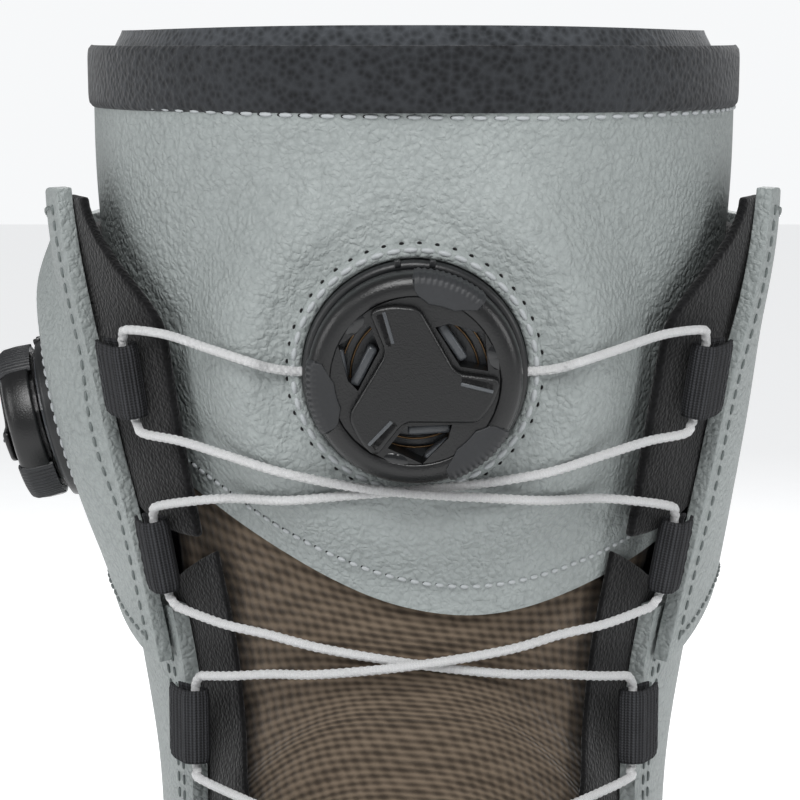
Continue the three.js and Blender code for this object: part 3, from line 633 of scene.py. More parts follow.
def lathe(profile, sides, matrix, closed=True):
    """A profile of (radius, height) in millimetres turned about a dial's axis."""
    bm = bmesh.new()
    verts = [bm.verts.new((r * MM, 0, z * MM)) for r, z in profile]
    pairs = list(zip(verts, verts[1:] + verts[:1])) if closed else list(zip(verts, verts[1:]))
    edges = [bm.edges.new(pair) for pair in pairs]
    bmesh.ops.spin(
        bm, geom=verts + edges, cent=(0, 0, 0), axis=(0, 0, 1), angle=TURN, steps=sides,
        use_merge=True,
    )
    bmesh.ops.remove_doubles(bm, verts=bm.verts, dist=1e-6)
    bmesh.ops.recalc_face_normals(bm, faces=bm.faces)
    bmesh.ops.transform(bm, matrix=matrix, verts=bm.verts)
    return bm


def merge(*parts):
    """Several bmeshes in one."""
    whole = bmesh.new()
    for part in parts:
        mesh = bpy.data.meshes.new("part")
        part.to_mesh(mesh)
        part.free()
        whole.from_mesh(mesh)
        bpy.data.meshes.remove(mesh)
    return whole


def stitches(path, pitch, outwards, length=0.7, thick=0.4):
    """Thread beads along a path in millimetres, one a pitch, with the normal at each point."""
    path, outwards = np.asarray(path, float), np.asarray(outwards, float)
    run = np.concatenate([[0], np.cumsum(np.linalg.norm(np.diff(path, axis=0), axis=1))])
    count = max(2, int(run[-1] / pitch))
    beads = []
    for i in range(count):
        where = (i + 0.5) * run[-1] / count
        point = np.array([np.interp(where, run, path[:, k]) for k in range(3)])
        ahead = np.array([np.interp(where + 0.2, run, path[:, k]) for k in range(3)])
        x = Vector(ahead - point).normalized()
        z = Vector([np.interp(where, run, outwards[:, k]) for k in range(3)])
        z = (z - x * z.dot(x)).normalized()
        turn = Matrix((x, z.cross(x), z)).transposed().to_4x4()
        size = Matrix.Diagonal((length * pitch / 2, thick, thick * 0.8, 1)) * MM
        size[3][3] = 1
        bead = bmesh.new()
        bmesh.ops.create_uvsphere(bead, u_segments=6, v_segments=4, radius=1,
            matrix=Matrix.Rotation(math.pi / 2, 4, "Y"))
        bmesh.ops.transform(bead, matrix=Matrix.Translation(Vector(point) * MM) @ turn @ size,
            verts=bead.verts)
        beads.append(bead)
    return merge(*beads)


# ---- Surfaces of the upper; u runs up from the toe and v round the leg ----
def ripple(p, size):
    """Slow unevenness of worked leather."""
    x, y, z = p[:, 0], p[:, 1], p[:, 2]
    return size * (np.sin(x * 0.11 + z * 0.07) * np.sin(y * 0.09 - z * 0.05 + 1.3) + 0.5
        * np.sin(x * 0.21 - y * 0.17 + z * 0.13))


def shell_surface(lift, top, throat=0.0, first=0.0):
    def shape(u, v):
        body = np.clip((u - 0.05) / 0.95, 0, 1)
        s = np.full(u.shape, 2.0)
        for _ in range(4):
            edge = np.where(s > THROAT_START, np.maximum(throat_edge(s), 1.5) + throat, 0)
            tau = mix(edge, 360 - edge, v)
            highest = np.minimum(ring_at(top(tau), tau), TOP)
            s = mix(first, highest, body)
        p = skin(s, tau, lift)
        ring = skin(np.full(u.shape, first), tau, lift)
        middle = bare(first, np.arange(0, 360, 15.0)).mean(0)
        t = np.clip(u / 0.05, 0, 1)[:, None]
        dome = middle + (ring - middle) * np.sin(t
            * math.pi / 2) + np.array([0, -2.2, 0]) * np.cos(t * math.pi / 2)
        return np.where(t < 1, dome, p)
    return shape


def cuff_surface(lift, low, high, edge_low, edge_high, turn=0.0, round_dial=True):
    def shape(u, v):
        half = mix(edge_low, edge_high, turn(u) if turn else u)
        tau = mix(half, 360 - half, v)
        s = ring_at(mix(low(tau), high(tau), u), tau)
        p = skin(s, tau, cuff_lift(tau) + lift + flare(tau, u))
        p = p + normal(s, tau) * ripple(p, 0.25)[:, None]
        return seat(p, SIDE_PLACE, SIDE_AXIS, lift - CUFF_WALL, 21.5) if round_dial else p
    return shape


def tongue_point(z, tau, lift):
    """Points of the tongue's face by height and angle, risen round the front dial."""
    z, tau = np.broadcast_arrays(np.asarray(z, float), np.asarray(tau, float))
    s = ring_at(z, tau)
    return seat(skin(s, tau, lift), FRONT_PLACE, FRONT_AXIS, lift + TONGUE_DEPTH, 24.5)


def panel_height(tau, rise):
    """Height of a line on the tongue panel, by its share of the way from lower edge to top."""
    x = bare(float(ring_at(panel_low(0), 0.0)), tau)[..., 0]
    return mix(panel_low(x), TONGUE_TOP - 5, rise)


def puckers(p):
    """Small gathers of the leather where it is drawn round the front dial."""
    rel = p - FRONT_PLACE
    r = np.hypot(rel[:, 0], rel[:, 2])
    angle = np.arctan2(rel[:, 2], rel[:, 0])
    reach = smooth(r, 20, 24) * (1 - smooth(r, 28, 47)) * (0.35 + 0.65 * smooth(rel[:, 2], -4, 18))
    waves = np.sin(angle * 31 + 2 * np.sin(angle * 5)) * 0.6 + np.sin(angle * 47 + r * 0.12) * 0.4
    aside = np.abs(np.degrees(angle) - 90)
    spread = smooth(r, 19.5, 25) * (1 - smooth(r, 34, 52)) * smooth(rel[:, 2], 0, 10)
    valley = np.exp(-(aside / 20) ** 2)
    ridge = np.exp(-((aside - 42) / 16) ** 2)
    moat = np.exp(-((r - 22.5) / 2.4) ** 2)
    return 0.14 * waves * reach + (0.75 * ridge - 0.95 * valley) * spread - 0.3 * moat


def tongue_surface(lift):
    def shape(u, v):
        half = mix(66, 84, u)
        tau = mix(-half, half, v)
        s = ring_at(panel_height(tau, u), tau)
        p = seat(skin(s, tau, lift), FRONT_PLACE, FRONT_AXIS, lift + TONGUE_DEPTH, 24.5)
        return p + normal(s, tau) * (puckers(p) + ripple(p, 0.12))[:, None]
    return shape


def knit_surface(depth):
    def shape(u, v):
        across = mix(-1, 1, v)
        high = across * 64
        x = bare(float(ring_at(200, 0.0)), high)[..., 0]
        s = mix(THROAT_START - 0.35, ring_at(panel_low(x) + 13, high), u)
        return skin(s, across * mix(14, 64, smooth(u, 0, 0.55)),
            -depth + 0.25 * np.sin(s * 9 + across * 2))
    return shape


def line_on(shape, u, v):
    """A path on a surface, with its outward directions."""
    u, v = np.broadcast_arrays(np.asarray(u, float), np.asarray(v, float))
    step = 1e-3
    p = shape(u, v)
    du = shape(np.clip(u + step, 0, 1), v) - shape(np.clip(u - step, 0, 1), v)
    dv = shape(u, np.clip(v + step, 0, 1)) - shape(u, np.clip(v - step, 0, 1))
    n = np.cross(dv, du)
    return p, n / np.maximum(np.linalg.norm(n, axis=1, keepdims=True), 1e-12)


def sew(name, body, lines, pitch=2.6, slot="webbing", finish="thread", holes=True):
    """Rows of stitches on surfaces, with black beads between them as painted shade of the needle
    holes.
    """
    threads = merge(*(stitches(p + n * 0.12, pitch, n) for p, n in lines))
    stands_for(add(name, threads, finish), body, slot)
    if not holes:
        return
    # Black beads at the needle holes are painted shade of the holes.
    hole_shade_beads = []
    for p, n in lines:
        run = np.concatenate([[0], np.cumsum(np.linalg.norm(np.diff(p, axis=0), axis=1))])
        shift = np.array([np.interp(run + pitch / 2 * run[-1] / max(run[-1], 1), run, p[:, k])
            for k in range(3)]).T
        hole_shade_beads.append(stitches(shift - n * 0.02, pitch, n, 0.26, 0.3))
    stands_for(add(name + "_holes", merge(*hole_shade_beads), "lining"), body, slot)


LINE = np.linspace(0, 1, 240)


class Piece:
    """What every piece's operator shares."""

    bl_options = {"REGISTER", "UNDO"}

    def execute(self, context):
        self.build(context.scene.boot_upper, context.scene.boot_dials)
        return {"FINISHED"}


class BOOT_OT_finishes(Piece, bpy.types.Operator):
    """Mix the finishes of every piece"""

    bl_idname = "boot.finishes"
    bl_label = "Finishes"

    def build(self, upper, dials):
        mix_finishes(upper)


class BOOT_OT_shell(Piece, bpy.types.Operator):
    """Make the lower shell's leather with its sewn throat edge"""

    bl_idname = "boot.shell"
    bl_label = "Lower shell"

    def build(self, upper, dials):
        surface = shell_surface(0, shell_top)
        leather_ = grid(upper.fineness, 96, surface, (420, 260), closed=True)
        shell = add("shell_leather", leather_, "leather", SHELL_WALL, 0.5)
        stands_for(shell, "lower", "leather", "lower_shell")
        rows = []
        for inset in (0.016, 0.027):
            start = 0.62
            for side in (inset, 1 - inset):
                rows.append(line_on(surface, mix(start, 0.99, LINE), side))
        sew("shell_stitching", "lower", rows, finish="leather_thread", holes=False)


class BOOT_OT_cuff(Piece, bpy.types.Operator):
    """Make the cuff's leather, its black lining and the spine up its back"""

    bl_idname = "boot.cuff"
    bl_label = "Cuff"

    def build(self, upper, dials):
        surface = cuff_surface(CUFF_WALL, cuff_low, cuff_high, 57, 63)
        side_hole = 17.4 * SIDE_K + GAP
        leather_ = punch(grid(48, 170, surface, (90, 330)), SIDE_PLACE, SIDE_AXIS, side_hole)
        cuff = add("cuff_leather", leather_, "leather", CUFF_WALL, 0.7)
        stands_for(cuff, "cuff", "leather", "cuff_shell")
        rows = [line_on(surface, mix(0.03, 0.97, LINE), side) for side in (0.013, 0.987)]
        rows += [line_on(surface, 0.045, mix(0.013, 0.987, LINE)),
            line_on(surface, 0.955, mix(0.013, 0.987, LINE))]
        sew("cuff_stitching", "cuff", rows, finish="leather_thread", holes=False)

        def lining_low(tau):
            a = from_front(tau)
            return 211 + 10 * smooth(a, 45, 90) - 62 * smooth(a, 88, 178)

        def spread(u):
            return smooth(u, 0.6, 1)
        inside = cuff_surface(-GAP, lining_low, lambda tau: cuff_high(tau) - 1.5, 42, 60, spread,
            False)
        lining = add("cuff_lining_cloth", grid(30, 120, inside, (60, 300)), "lining", 1.6, 0.6)
        stands_for(lining, "cuff", "lining", "cuff_lining")

        def spine(u, v):
            tau = 180 + mix(-1, 1, v) * mix(17, 11, u)
            edge = 1 - np.maximum(np.abs(2 * v - 1), np.abs(2 * u - 1) ** 8) ** 6
            return skin(ring_at(mix(136, 256, u), tau), tau,
                cuff_lift(tau) + CUFF_WALL + 0.5 + 1.9 * edge)
        strip = add("backstay", grid(60, 16, spine, (120, 30)), "rand", 1.0)
        stands_for(strip, "cuff", "rand", "cuff_backstay")


class BOOT_OT_tongue(Piece, bpy.types.Operator):
    """Make the tongue: leather face, knitted flex, padding, rim and stitching"""

    bl_idname = "boot.tongue"
    bl_label = "Tongue"

    def build(self, upper, dials):
        surface = tongue_surface(-TONGUE_DEPTH)
        face = punch(grid(104, 190, surface, (80, 150)), FRONT_PLACE, FRONT_AXIS, 17.4 + GAP)
        panel = add("tongue_leather", face, "leather", PANEL_WALL, 0.4)
        stands_for(panel, "cuff", "leather", "tongue_panel")

        def low_row(v):
            tau = mix(-66, 66, v)
            rise = 4.6 / (TONGUE_TOP - 5 - panel_height(tau, 0))
            return line_on(surface, rise, v)
        top_u = 0.925
        sew("tongue_low_seam", "cuff", [low_row(mix(0.01, 0.99, LINE))], 2.0)
        sew("tongue_top_seam", "cuff", [line_on(surface, top_u, mix(0.01, 0.99, LINE))], 3.3)

        def strip(u, v):
            tau = mix(-84, 84, v)
            z = mix(279.3, TONGUE_TOP - 0.2, u)
            crown = 0.75 * np.sqrt(np.maximum(1 - (2 * u - 1) ** 6, 0))
            return tongue_point(z, tau, -TONGUE_DEPTH + 0.1 + crown)
        rim = add("tongue_rim", grid(14, 150, strip, (12, 165)), "binding", 1.9, 0.3)
        stands_for(rim, "cuff", "webbing", "tongue_binding")

        knit_ = add("tongue_knit", grid(90, 80, knit_surface(6.4), (135, 95)), "textile", 1.6)
        stands_for(knit_, None, "textile", "tongue_flex_panel")
        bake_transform(knit_)

        def pad(u, v):
            tau = mix(-60, 60, v)
            edge = 1 - np.maximum(np.abs(2 * v - 1), np.abs(2 * u - 1)) ** 6
            return skin(ring_at(mix(222, TONGUE_TOP - 8, u), tau), tau, -9.6 + 0.9 * edge)
        padding = add("tongue_padding", grid(24, 30, pad, (60, 100)), "liner", 1.2)
        stands_for(padding, "cuff", "liner", "tongue_foam")

        def patch(u, v):
            s = mix(THROAT_START + 0.5, 7.6, u)
            edge = 1 - np.maximum(np.abs(2 * v - 1), np.abs(2 * u - 1)) ** 8
            return skin(s, mix(-1, 1, v) * (throat_edge(s) - 4), -TONGUE_DEPTH - 0.5 + 0.5 * edge)
        shield = add("instep_patch", grid(36, 36, patch, (60, 55)), "leather", 1.1, 0.3)
        stands_for(shield, "lower", "leather", "tongue_shield")


class BOOT_OT_gussets(Piece, bpy.types.Operator):
    """Make the black gussets inside the throat"""

    bl_idname = "boot.gussets"
    bl_label = "Gussets"

    def build(self, upper, dials):
        for side, sign in (("outer", -1), ("inner", 1)):
            def surface(u, v, sign=sign):
                s = mix(THROAT_START + 1.4, 12.9, u)
                return skin(s, sign * (throat_edge(s) + mix(-13, 7, v) * smooth(u, -0.3, 0.4)),
                    -3.1)
            cloth_ = add("gusset_cloth_" + side,
                grid(60, 14, surface, (110, 20), outward=sign > 0), "lining", 0.9, 0.3)
            stands_for(cloth_, None, "lining", "gusset_" + side)
            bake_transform(cloth_)


class BOOT_OT_liner(Piece, bpy.types.Operator):
    """Make the padded inner boot in its three stretches"""

    bl_idname = "boot.liner"
    bl_label = "Liner"

    def build(self, upper, dials):
        def foot_top(tau):
            return 150 - 32 * smooth(from_front(tau), 60, 150)

        def leg_low(tau):
            return 212 - 62 * smooth(from_front(tau), 80, 172)

        def leg(low, high, puff):
            def shape(u, v):
                tau = v * 360
                s = mix(low(tau), high(tau), u)
                return skin(s, tau, liner_lift(s, tau) + puff(u, v))
            return shape

        def foot(u, v):
            tau = v * 360
            s = mix(0.7, np.minimum(ring_at(foot_top(tau), tau), TOP),
                np.clip((u - 0.05) / 0.95, 0, 1))
            p = skin(s, tau, liner_lift(s, tau))
            middle = bare(0.7, np.arange(0, 360, 15.0)).mean(0)
            t = np.clip(u / 0.05, 0, 1)[:, None]
            return np.where(t < 1, middle + (p - middle) * np.sin(t * math.pi / 2), p)

        def collar(u, v):
            return 0.5 * np.sin(math.pi * u) ** 0.5 - 1.4 * smooth(u, 0.93,
                1) - 0.5 * np.exp(-((u - 0.86) / 0.012) ** 2)
        join = 0.12
        made = (
            ("liner_foot_pad", foot, "liner_foot", "lower", 60, (300, 280)),
            ("liner_ankle_pad", leg(lambda t: ring_at(foot_top(t), t) + join,
                lambda t: ring_at(leg_low(t), t) - join,
                                    lambda u, v: 0), "liner_ankle_flex", None, 30, (90, 300)),
            ("liner_leg_pad", leg(lambda t: ring_at(leg_low(t), t),
                lambda t: np.full(t.shape, float(TOP)), collar),
             "liner_leg", "cuff", 60, (130, 320)),
        )
        for name, surface, node, body, rows, span in made:
            pad = add(name, grid(rows, 72, surface, span, closed=True), "liner", LINER_WALL - 0.5,
                2.2 if body == "cuff" else 0)
            stands_for(pad, body, "liner", node)
            if not body:
                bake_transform(pad)

        def bed(u, v):
            s = mix(2.6, 8.1, u)
            return skin(s, 180 + mix(-38, 38, v), -13.9 - 0.6 * (1 - np.abs(2 * v - 1) ** 4))
        footbed = add("footbed_pad", grid(60, 24, bed, (210, 60), outward=True), "liner", 3.2,
            offset=1)
        stands_for(footbed, "lower", "liner", "footbed")


# ---- Sole, rands and webbing ----
OUTLINE = np.array([
    [9, -161], [-18, -155], [-44, -134], [-55, -106], [-59, -77], [-58, -47], [-54, -17],
    [-49, 15],
    [-46, 50], [-45, 90], [-41, 124], [-27, 147], [0, 155], [27, 147], [41, 124], [45, 90],
    [45, 50], [47, 15], [51, -17], [55, -47], [59, -77], [60, -106], [53, -138], [34, -155],
], float)


def outline(v):
    """Points of the sole's edge, once round."""
    count = len(OUTLINE)
    where = np.asarray(v) * count
    i = np.floor(where).astype(int)
    t = (where - i)[:, None]
    a, b, c, d = (OUTLINE[(i + k) % count] for k in (-1, 0, 1, 2))
    return 0.5 * (2 * b + (c - a) * t + (2 * a - 5 * b + 4 * c - d) * t ** 2
        + (3 * b - a - 3 * c + d) * t ** 3)


def side_outwards(v):
    step = outline(v + 1e-3) - outline(v - 1e-3)
    out = np.stack([-step[:, 1], step[:, 0]], 1)
    out /= np.linalg.norm(out, axis=1, keepdims=True)
    away = outline(v) + out - outline(v).mean(0)
    near = outline(v) - out - outline(v).mean(0)
    flip = np.linalg.norm(away, axis=1).mean() < np.linalg.norm(near, axis=1).mean()
    return -out if flip else out


SIDEWALL = [
    (0.0, 10.3, -2.6), (0.05, 10.35, -0.9), (0.1, 11.3, 0.0), (0.3, 16.4, 0.3),
    (0.36, 17.6, -1.1), (0.42, 18.8, -1.1), (0.48, 19.9, 0.4),
    (0.66, 27.4, 0.3), (0.72, 28.8, -0.9), (0.78, 30.0, -0.9), (0.84, 31.2, 0.2),
    (0.93, 34.6, 0.0), (0.97, 35.9, -1.2), (1.0, 36.0, -3.4),
]


class BOOT_OT_sole(Piece, bpy.types.Operator):
    """Make the sole's sidewall and give the outsole, board and midsole their rubber and foam"""

    bl_idname = "boot.sole"
    bl_label = "Sole"

    def build(self, upper, dials):
        share, high, out = (np.array(column) for column in zip(*SIDEWALL))

        def wall(u, v):
            edge = outline(v % 1.0)
            n = side_outwards(v % 1.0)
            facet = 0.35 * np.cos(v * TURN * 46) * smooth(u, 0.48,
                0.52) * (1 - smooth(u, 0.64, 0.68))
            p = edge + n * (np.interp(u, share, out) - 0.2 + facet)[:, None]
            return np.column_stack([p, np.interp(u, share, high)])
        rubber = grid(40, 460, wall, (40, 880), closed=True)
        bmesh.ops.recalc_face_normals(rubber, faces=rubber.faces)
        side = add("sole_sidewall", rubber, "midsole", 3.0)
        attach(side, "lower")
        kept = {
            "midsole": "midsole", "insole_board": "board", "outsole_forefoot": "sole_rubber",
            "outsole_arch_pad": "sole_rubber", "outsole_heel": "sole_rubber",
        }
        for node, finish in kept.items():
            for slot in bpy.data.objects[node].material_slots:
                slot.material = FINISHES[finish]


def trimmed(bm, place, towards):
    """Cut a surface at a plane and keep the side it looks towards."""
    bmesh.ops.bisect_plane(
        bm, geom=bm.verts[:] + bm.edges[:] + bm.faces[:], plane_co=Vector(place) * MM,
        plane_no=towards, clear_inner=True,
    )
    return bm


class BOOT_OT_rands(Piece, bpy.types.Operator):
    """Make the rubber toe cap and heel counter"""

    bl_idname = "boot.rands"
    bl_label = "Toe cap and heel counter"

    def build(self, upper, dials):
        def cap(u, v):
            tau = v * 360
            body = np.clip((u - 0.06) / 0.94, 0, 1)
            s = body * (2.1 + 1.5 * smooth(from_front(tau), 40, 110))
            lip = 2.5 - 1.0 * smooth(u, 0.97, 1) - 0.7 * np.exp(-((u - 0.86) / 0.012) ** 2)
            p = skin(s, tau, lip)
            middle = bare(0, np.arange(0, 360, 15.0)).mean(0) + np.array([0, -4.6, 0])
            ring = skin(np.zeros(u.shape), tau, lip)
            t = np.clip(u / 0.06, 0, 1)[:, None]
            return np.where(t < 1, middle + (ring - middle) * np.sin(t * math.pi / 2), p)
        toe = trimmed(grid(60, 110, cap, (90, 260), closed=True), (0, 0, SOLE_TOP), (0, 0, 1))
        toe = add("toe_rand", toe, "rand", 1.6, 0.3)
        stands_for(toe, "lower", "rand", "toe_cap")

        def counter(u, v):
            across = 2 * v - 1
            tau = 180 + across * mix(96, 22, smooth(u, 0.1, 1))
            s = mix(8.2, 12.3, u)
            edge = 1 - np.maximum(np.abs(across), u) ** 14
            return skin(s, tau, 1.2 + 1.15 * edge - 0.6
                * np.exp(-((np.abs(across) - 0.9) / 0.014) ** 2))
        back = trimmed(grid(60, 120, counter, (90, 200)), (0, 0, SOLE_TOP), (0, 0, 1))
        back = add("heel_rand", back, "rand", 0.9, 0.2)
        stands_for(back, "lower", "rand", "heel_counter")


LOOPS = (
    (237, 49, 3.1, 8.6), (208, 49.5, 3.1, 6), (179, 46.5, 2.4, 9.5), (154, 39, 2.6, 9),
    (134, 25, 2.8, 8),
)
LOOP_WIDTH = 12


def loop_place(index, sign):
    """The middle of a loop's channel, and the ways along the boot, across the leather and off it."""
    z, tau, lift, _ = LOOPS[index]
    s = float(ring_at(z, tau))
    at = skin(s, sign * tau, lift)
    along = skin(s + 0.2, sign * tau, lift) - skin(s - 0.2, sign * tau, lift)
    along = along / np.linalg.norm(along)
    out = skin(s, sign * (tau + 2), lift) - at
    out = out - along * (out @ along)
    out = out / np.linalg.norm(out)
    off = np.cross(out, along) * sign
    return at, along, out, off


def through_loop(index, sign):
    at, along, out, off = loop_place(index, sign)
    half = LOOP_WIDTH / 2
    stops = ((half + 2.6, -2.2), (half + 1.3, -0.5), (half - 0.8, 0), (0.8 - half, 0),
        (-half - 1.3, -0.5), (-half - 2.6, -2.2))
    return [at + along * up - out * -away for up, away in stops]


class BOOT_OT_loops(Piece, bpy.types.Operator):
    """Make the folded webbing loops that guide the lace"""

    bl_idname = "boot.loops"
    bl_label = "Lace loops"

    def build(self, upper, dials):
        for sign, side in ((-1, "outer"), (1, "inner")):
            for index in range(len(LOOPS)):
                at, along, out, off = loop_place(index, sign)
                length = LOOPS[index][3]
                ring = [(length, 0.2), (0.55 * length, 1.45)]
                ring += [(2.1 * math.cos(math.radians(a)), 2.1 * math.sin(math.radians(a)))
                    for a in range(70, 295, 15)]
                ring += [(0.5 * length, -1.65), (length, -1.45)]
                ring = np.array(ring)
                run = np.concatenate([[0],
                    np.cumsum(np.linalg.norm(np.diff(ring, axis=0), axis=1))])

                def strap(u, v, at=at, along=along, out=out, off=off, ring=ring, run=run):
                    where = u * run[-1]
                    x = np.interp(where, run, ring[:, 0])
                    y = np.interp(where, run, ring[:, 1])
                    across = (v - 0.5) * LOOP_WIDTH
                    selvedge = 0.14 * (np.abs(2 * v - 1) > 0.86)
                    rib = 0.07 * np.cos(where * TURN / 0.92)
                    turn = np.stack([-(np.interp(where + 0.2, run, ring[:, 1]) - y),
                        np.interp(where + 0.2, run, ring[:, 0]) - x], 1)
                    turn /= np.maximum(np.linalg.norm(turn, axis=1, keepdims=True), 1e-9)
                    x = x - turn[:, 0] * (rib - selvedge)
                    y = y - turn[:, 1] * (rib - selvedge)
                    return at + out * x[:, None] + off * y[:, None] + along * across[:, None]
                ribbon = grid(int(run[-1] / 0.23), 24, strap, (run[-1], LOOP_WIDTH),
                    outward=sign < 0)
                bmesh.ops.recalc_face_normals(ribbon, faces=ribbon.faces)
                node = "loop_%s_%d" % (side, index + 1)
                body = "cuff" if index < 2 else "lower"
                belt = add(node + "_webbing", ribbon, "webbing", 0.45, offset=0)
                stands_for(belt, body, "webbing", node)
                bar = []
                for k in np.linspace(-0.36, 0.36, 7):
                    for row in (0.74, 0.84):
                        bar.append(at + out * length * row + off
                            * np.interp(row * length, ring[:2][::-1, 0], ring[:2][::-1, 1])
                            + along * k * LOOP_WIDTH)
                tack = np.array(bar).reshape(7, 2, 3)
                rows = merge(*(stitches(tack[:, k] + off * 0.25, 1.9, np.tile(off, (7, 1)), 0.7,
                    0.26) for k in (0, 1)))
                stands_for(add(node + "_tack", rows, "binding"), body, "webbing")


# ---- Lace ----
CROSS_STEP = 2


def over(z, tau, lift):
    """A point of the lace at a height, an angle and a lift, raised round the front dial."""
    p = skin(ring_at(z, tau), np.float64(tau), lift)
    return seat(p[None], FRONT_PLACE, FRONT_AXIS, lift + TONGUE_DEPTH, 24.5)[0]


def from_axle(x, height):
    return FRONT_PLACE + np.array([x, 0, 0]) + FRONT_AXIS * height


def upper_lace(sign):
    b = CROSS_STEP if sign < 0 else 0
    return [
        from_axle(sign * 13.6, 1.2), from_axle(sign * 18.6, 1.2),
        from_axle(sign * 22.5, 1.3) + np.array([0, 0, 0.55]),
        over(241.9, 26 * sign, -2.7), over(243.2, 33 * sign, -1.6), over(244.8, 40 * sign, 1.4),
        *through_loop(0, sign),
        over(227.6, 40 * sign, 1.5), over(226, 32 * sign, -1.4), over(224.2, 22 * sign, -2.9),
        over(222.3, 10 * sign, -3.2 + 0.6 * b), over(221.2, 0, -3.2 + b),
        over(220.4, -10 * sign, -3.2 + 0.6 * b),
        over(219.4, -22 * sign, -2.9), over(218.2, -33 * sign, -1.2), over(217.6, -41 * sign, 1.6),
        *through_loop(1, -sign),
    ]


def crossing_lace(sign):
    b = CROSS_STEP if sign > 0 else 0
    return [
        through_loop(1, sign)[-1],
        over(197.5, 38 * sign, 1.2), over(196, 30 * sign, -1.8),
        over(194.4, 18 * sign, -4.2 + 0.5 * b),
        over(192.8, 0, -5 + b), over(190.8, -18 * sign, -4.2 + 0.5 * b),
        over(189.6, -30 * sign, -2.2),
        over(188.6, -38 * sign, 0.4),
        through_loop(2, -sign)[0],
    ]


def lower_cross(index, sign):
    z = (LOOPS[index][0] + LOOPS[index + 1][0]) / 2
    lift = mix(-3.4, -1.4, (index - 2) / 2)
    b = CROSS_STEP if sign < 0 else 0
    before, after = LOOPS[index][1], LOOPS[index + 1][1]
    return [
        over(z + 2.5, 0.62 * before * sign, lift + 1.6),
        over(z + 1, 0.3 * before * sign, lift + 0.7 * b + 0.4),
        over(z, 0, lift + b), over(z - 1, -0.28 * before * sign, lift + 0.7 * b + 0.4),
        over(z - 2.4, -0.66 * after * sign, lift + 1.6),
    ]


def lower_run(sign):
    return [
        *through_loop(2, sign), *lower_cross(2, sign), *through_loop(3, -sign),
        *lower_cross(3, -sign),
        *through_loop(4, sign),
    ]


class BOOT_OT_lace(Piece, bpy.types.Operator):
    """Make the braided lace in its stretches on the cuff, across the ankle and on the foot"""

    bl_idname = "boot.lace"
    bl_label = "Lace"

    def build(self, upper, dials):
        radius = upper.lace_width / MM / 2
        stretches = (
            ("lace_cord_upper_a", upper_lace(-1), "cuff", "lace_upper_a"),
            ("lace_cord_upper_b", upper_lace(1), "cuff", "lace_upper_b"),
            ("lace_cord_crossing_a", crossing_lace(1), None, "lace_crossing_a"),
            ("lace_cord_crossing_b", crossing_lace(-1), None, "lace_crossing_b"),
            ("lace_cord_lower", [
                *lower_run(-1), over(124.5, -12, 1.2), over(124, 0, 1.2), over(124.5, 12, 1.2),
                *reversed(lower_run(1)),
            ], "lower", "lace_lower"),
        )
        for name, points, body, node in stretches:
            path = rounded(points, 0.17)
            cord = tube(path, radius, 16, 3.0, plaited)
            piece = add(name, cord, "lace")
            stands_for(piece, body, "lace", node)
            if not body:
                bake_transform(piece)


# ---- Dials ----
ARM_ANGLES = (106, 226, 346)
CAP_CORNERS = ((13.1, 16.5), (12.4, 1), (11.5, -19), (6.4, -92))


def polar_point(r, angle, z=0.0):
    return (r * math.cos(math.radians(angle)) * MM, r * math.sin(math.radians(angle)) * MM, z * MM)


def cap_shape(k, matrix):
    """The three-armed cap: a flat outline, its corners rounded, drawn up and bevelled."""
    bm = bmesh.new()
    verts = []
    for arm in sorted(ARM_ANGLES):
        for r, angle in reversed(CAP_CORNERS):
            verts.append(bm.verts.new(polar_point(r * k, arm + angle, 10.0)))
    bm.faces.new(verts)
    bmesh.ops.bevel(
        bm, geom=bm.verts[:], offset=1.25 * k * MM, segments=5, profile=0.5, affect="VERTICES",
        material=-1,
    )
    raised = bmesh.ops.extrude_face_region(bm, geom=bm.faces[:])["geom"]
    bmesh.ops.translate(bm, vec=(0, 0, 1.35 * MM),
        verts=[g for g in raised if isinstance(g, bmesh.types.BMVert)])
    bmesh.ops.recalc_face_normals(bm, faces=bm.faces)
    rim = [e for e in bm.edges if min(v.co.z for v in e.verts) > 11.3
        * MM and len(e.link_faces) == 2
           and e.calc_face_angle(0) > 0.8]
    bmesh.ops.bevel(bm, geom=rim, offset=0.55 * MM, segments=4, profile=0.5, affect="EDGES",
        material=-1)
    bmesh.ops.transform(bm, matrix=matrix, verts=bm.verts)
    return bm


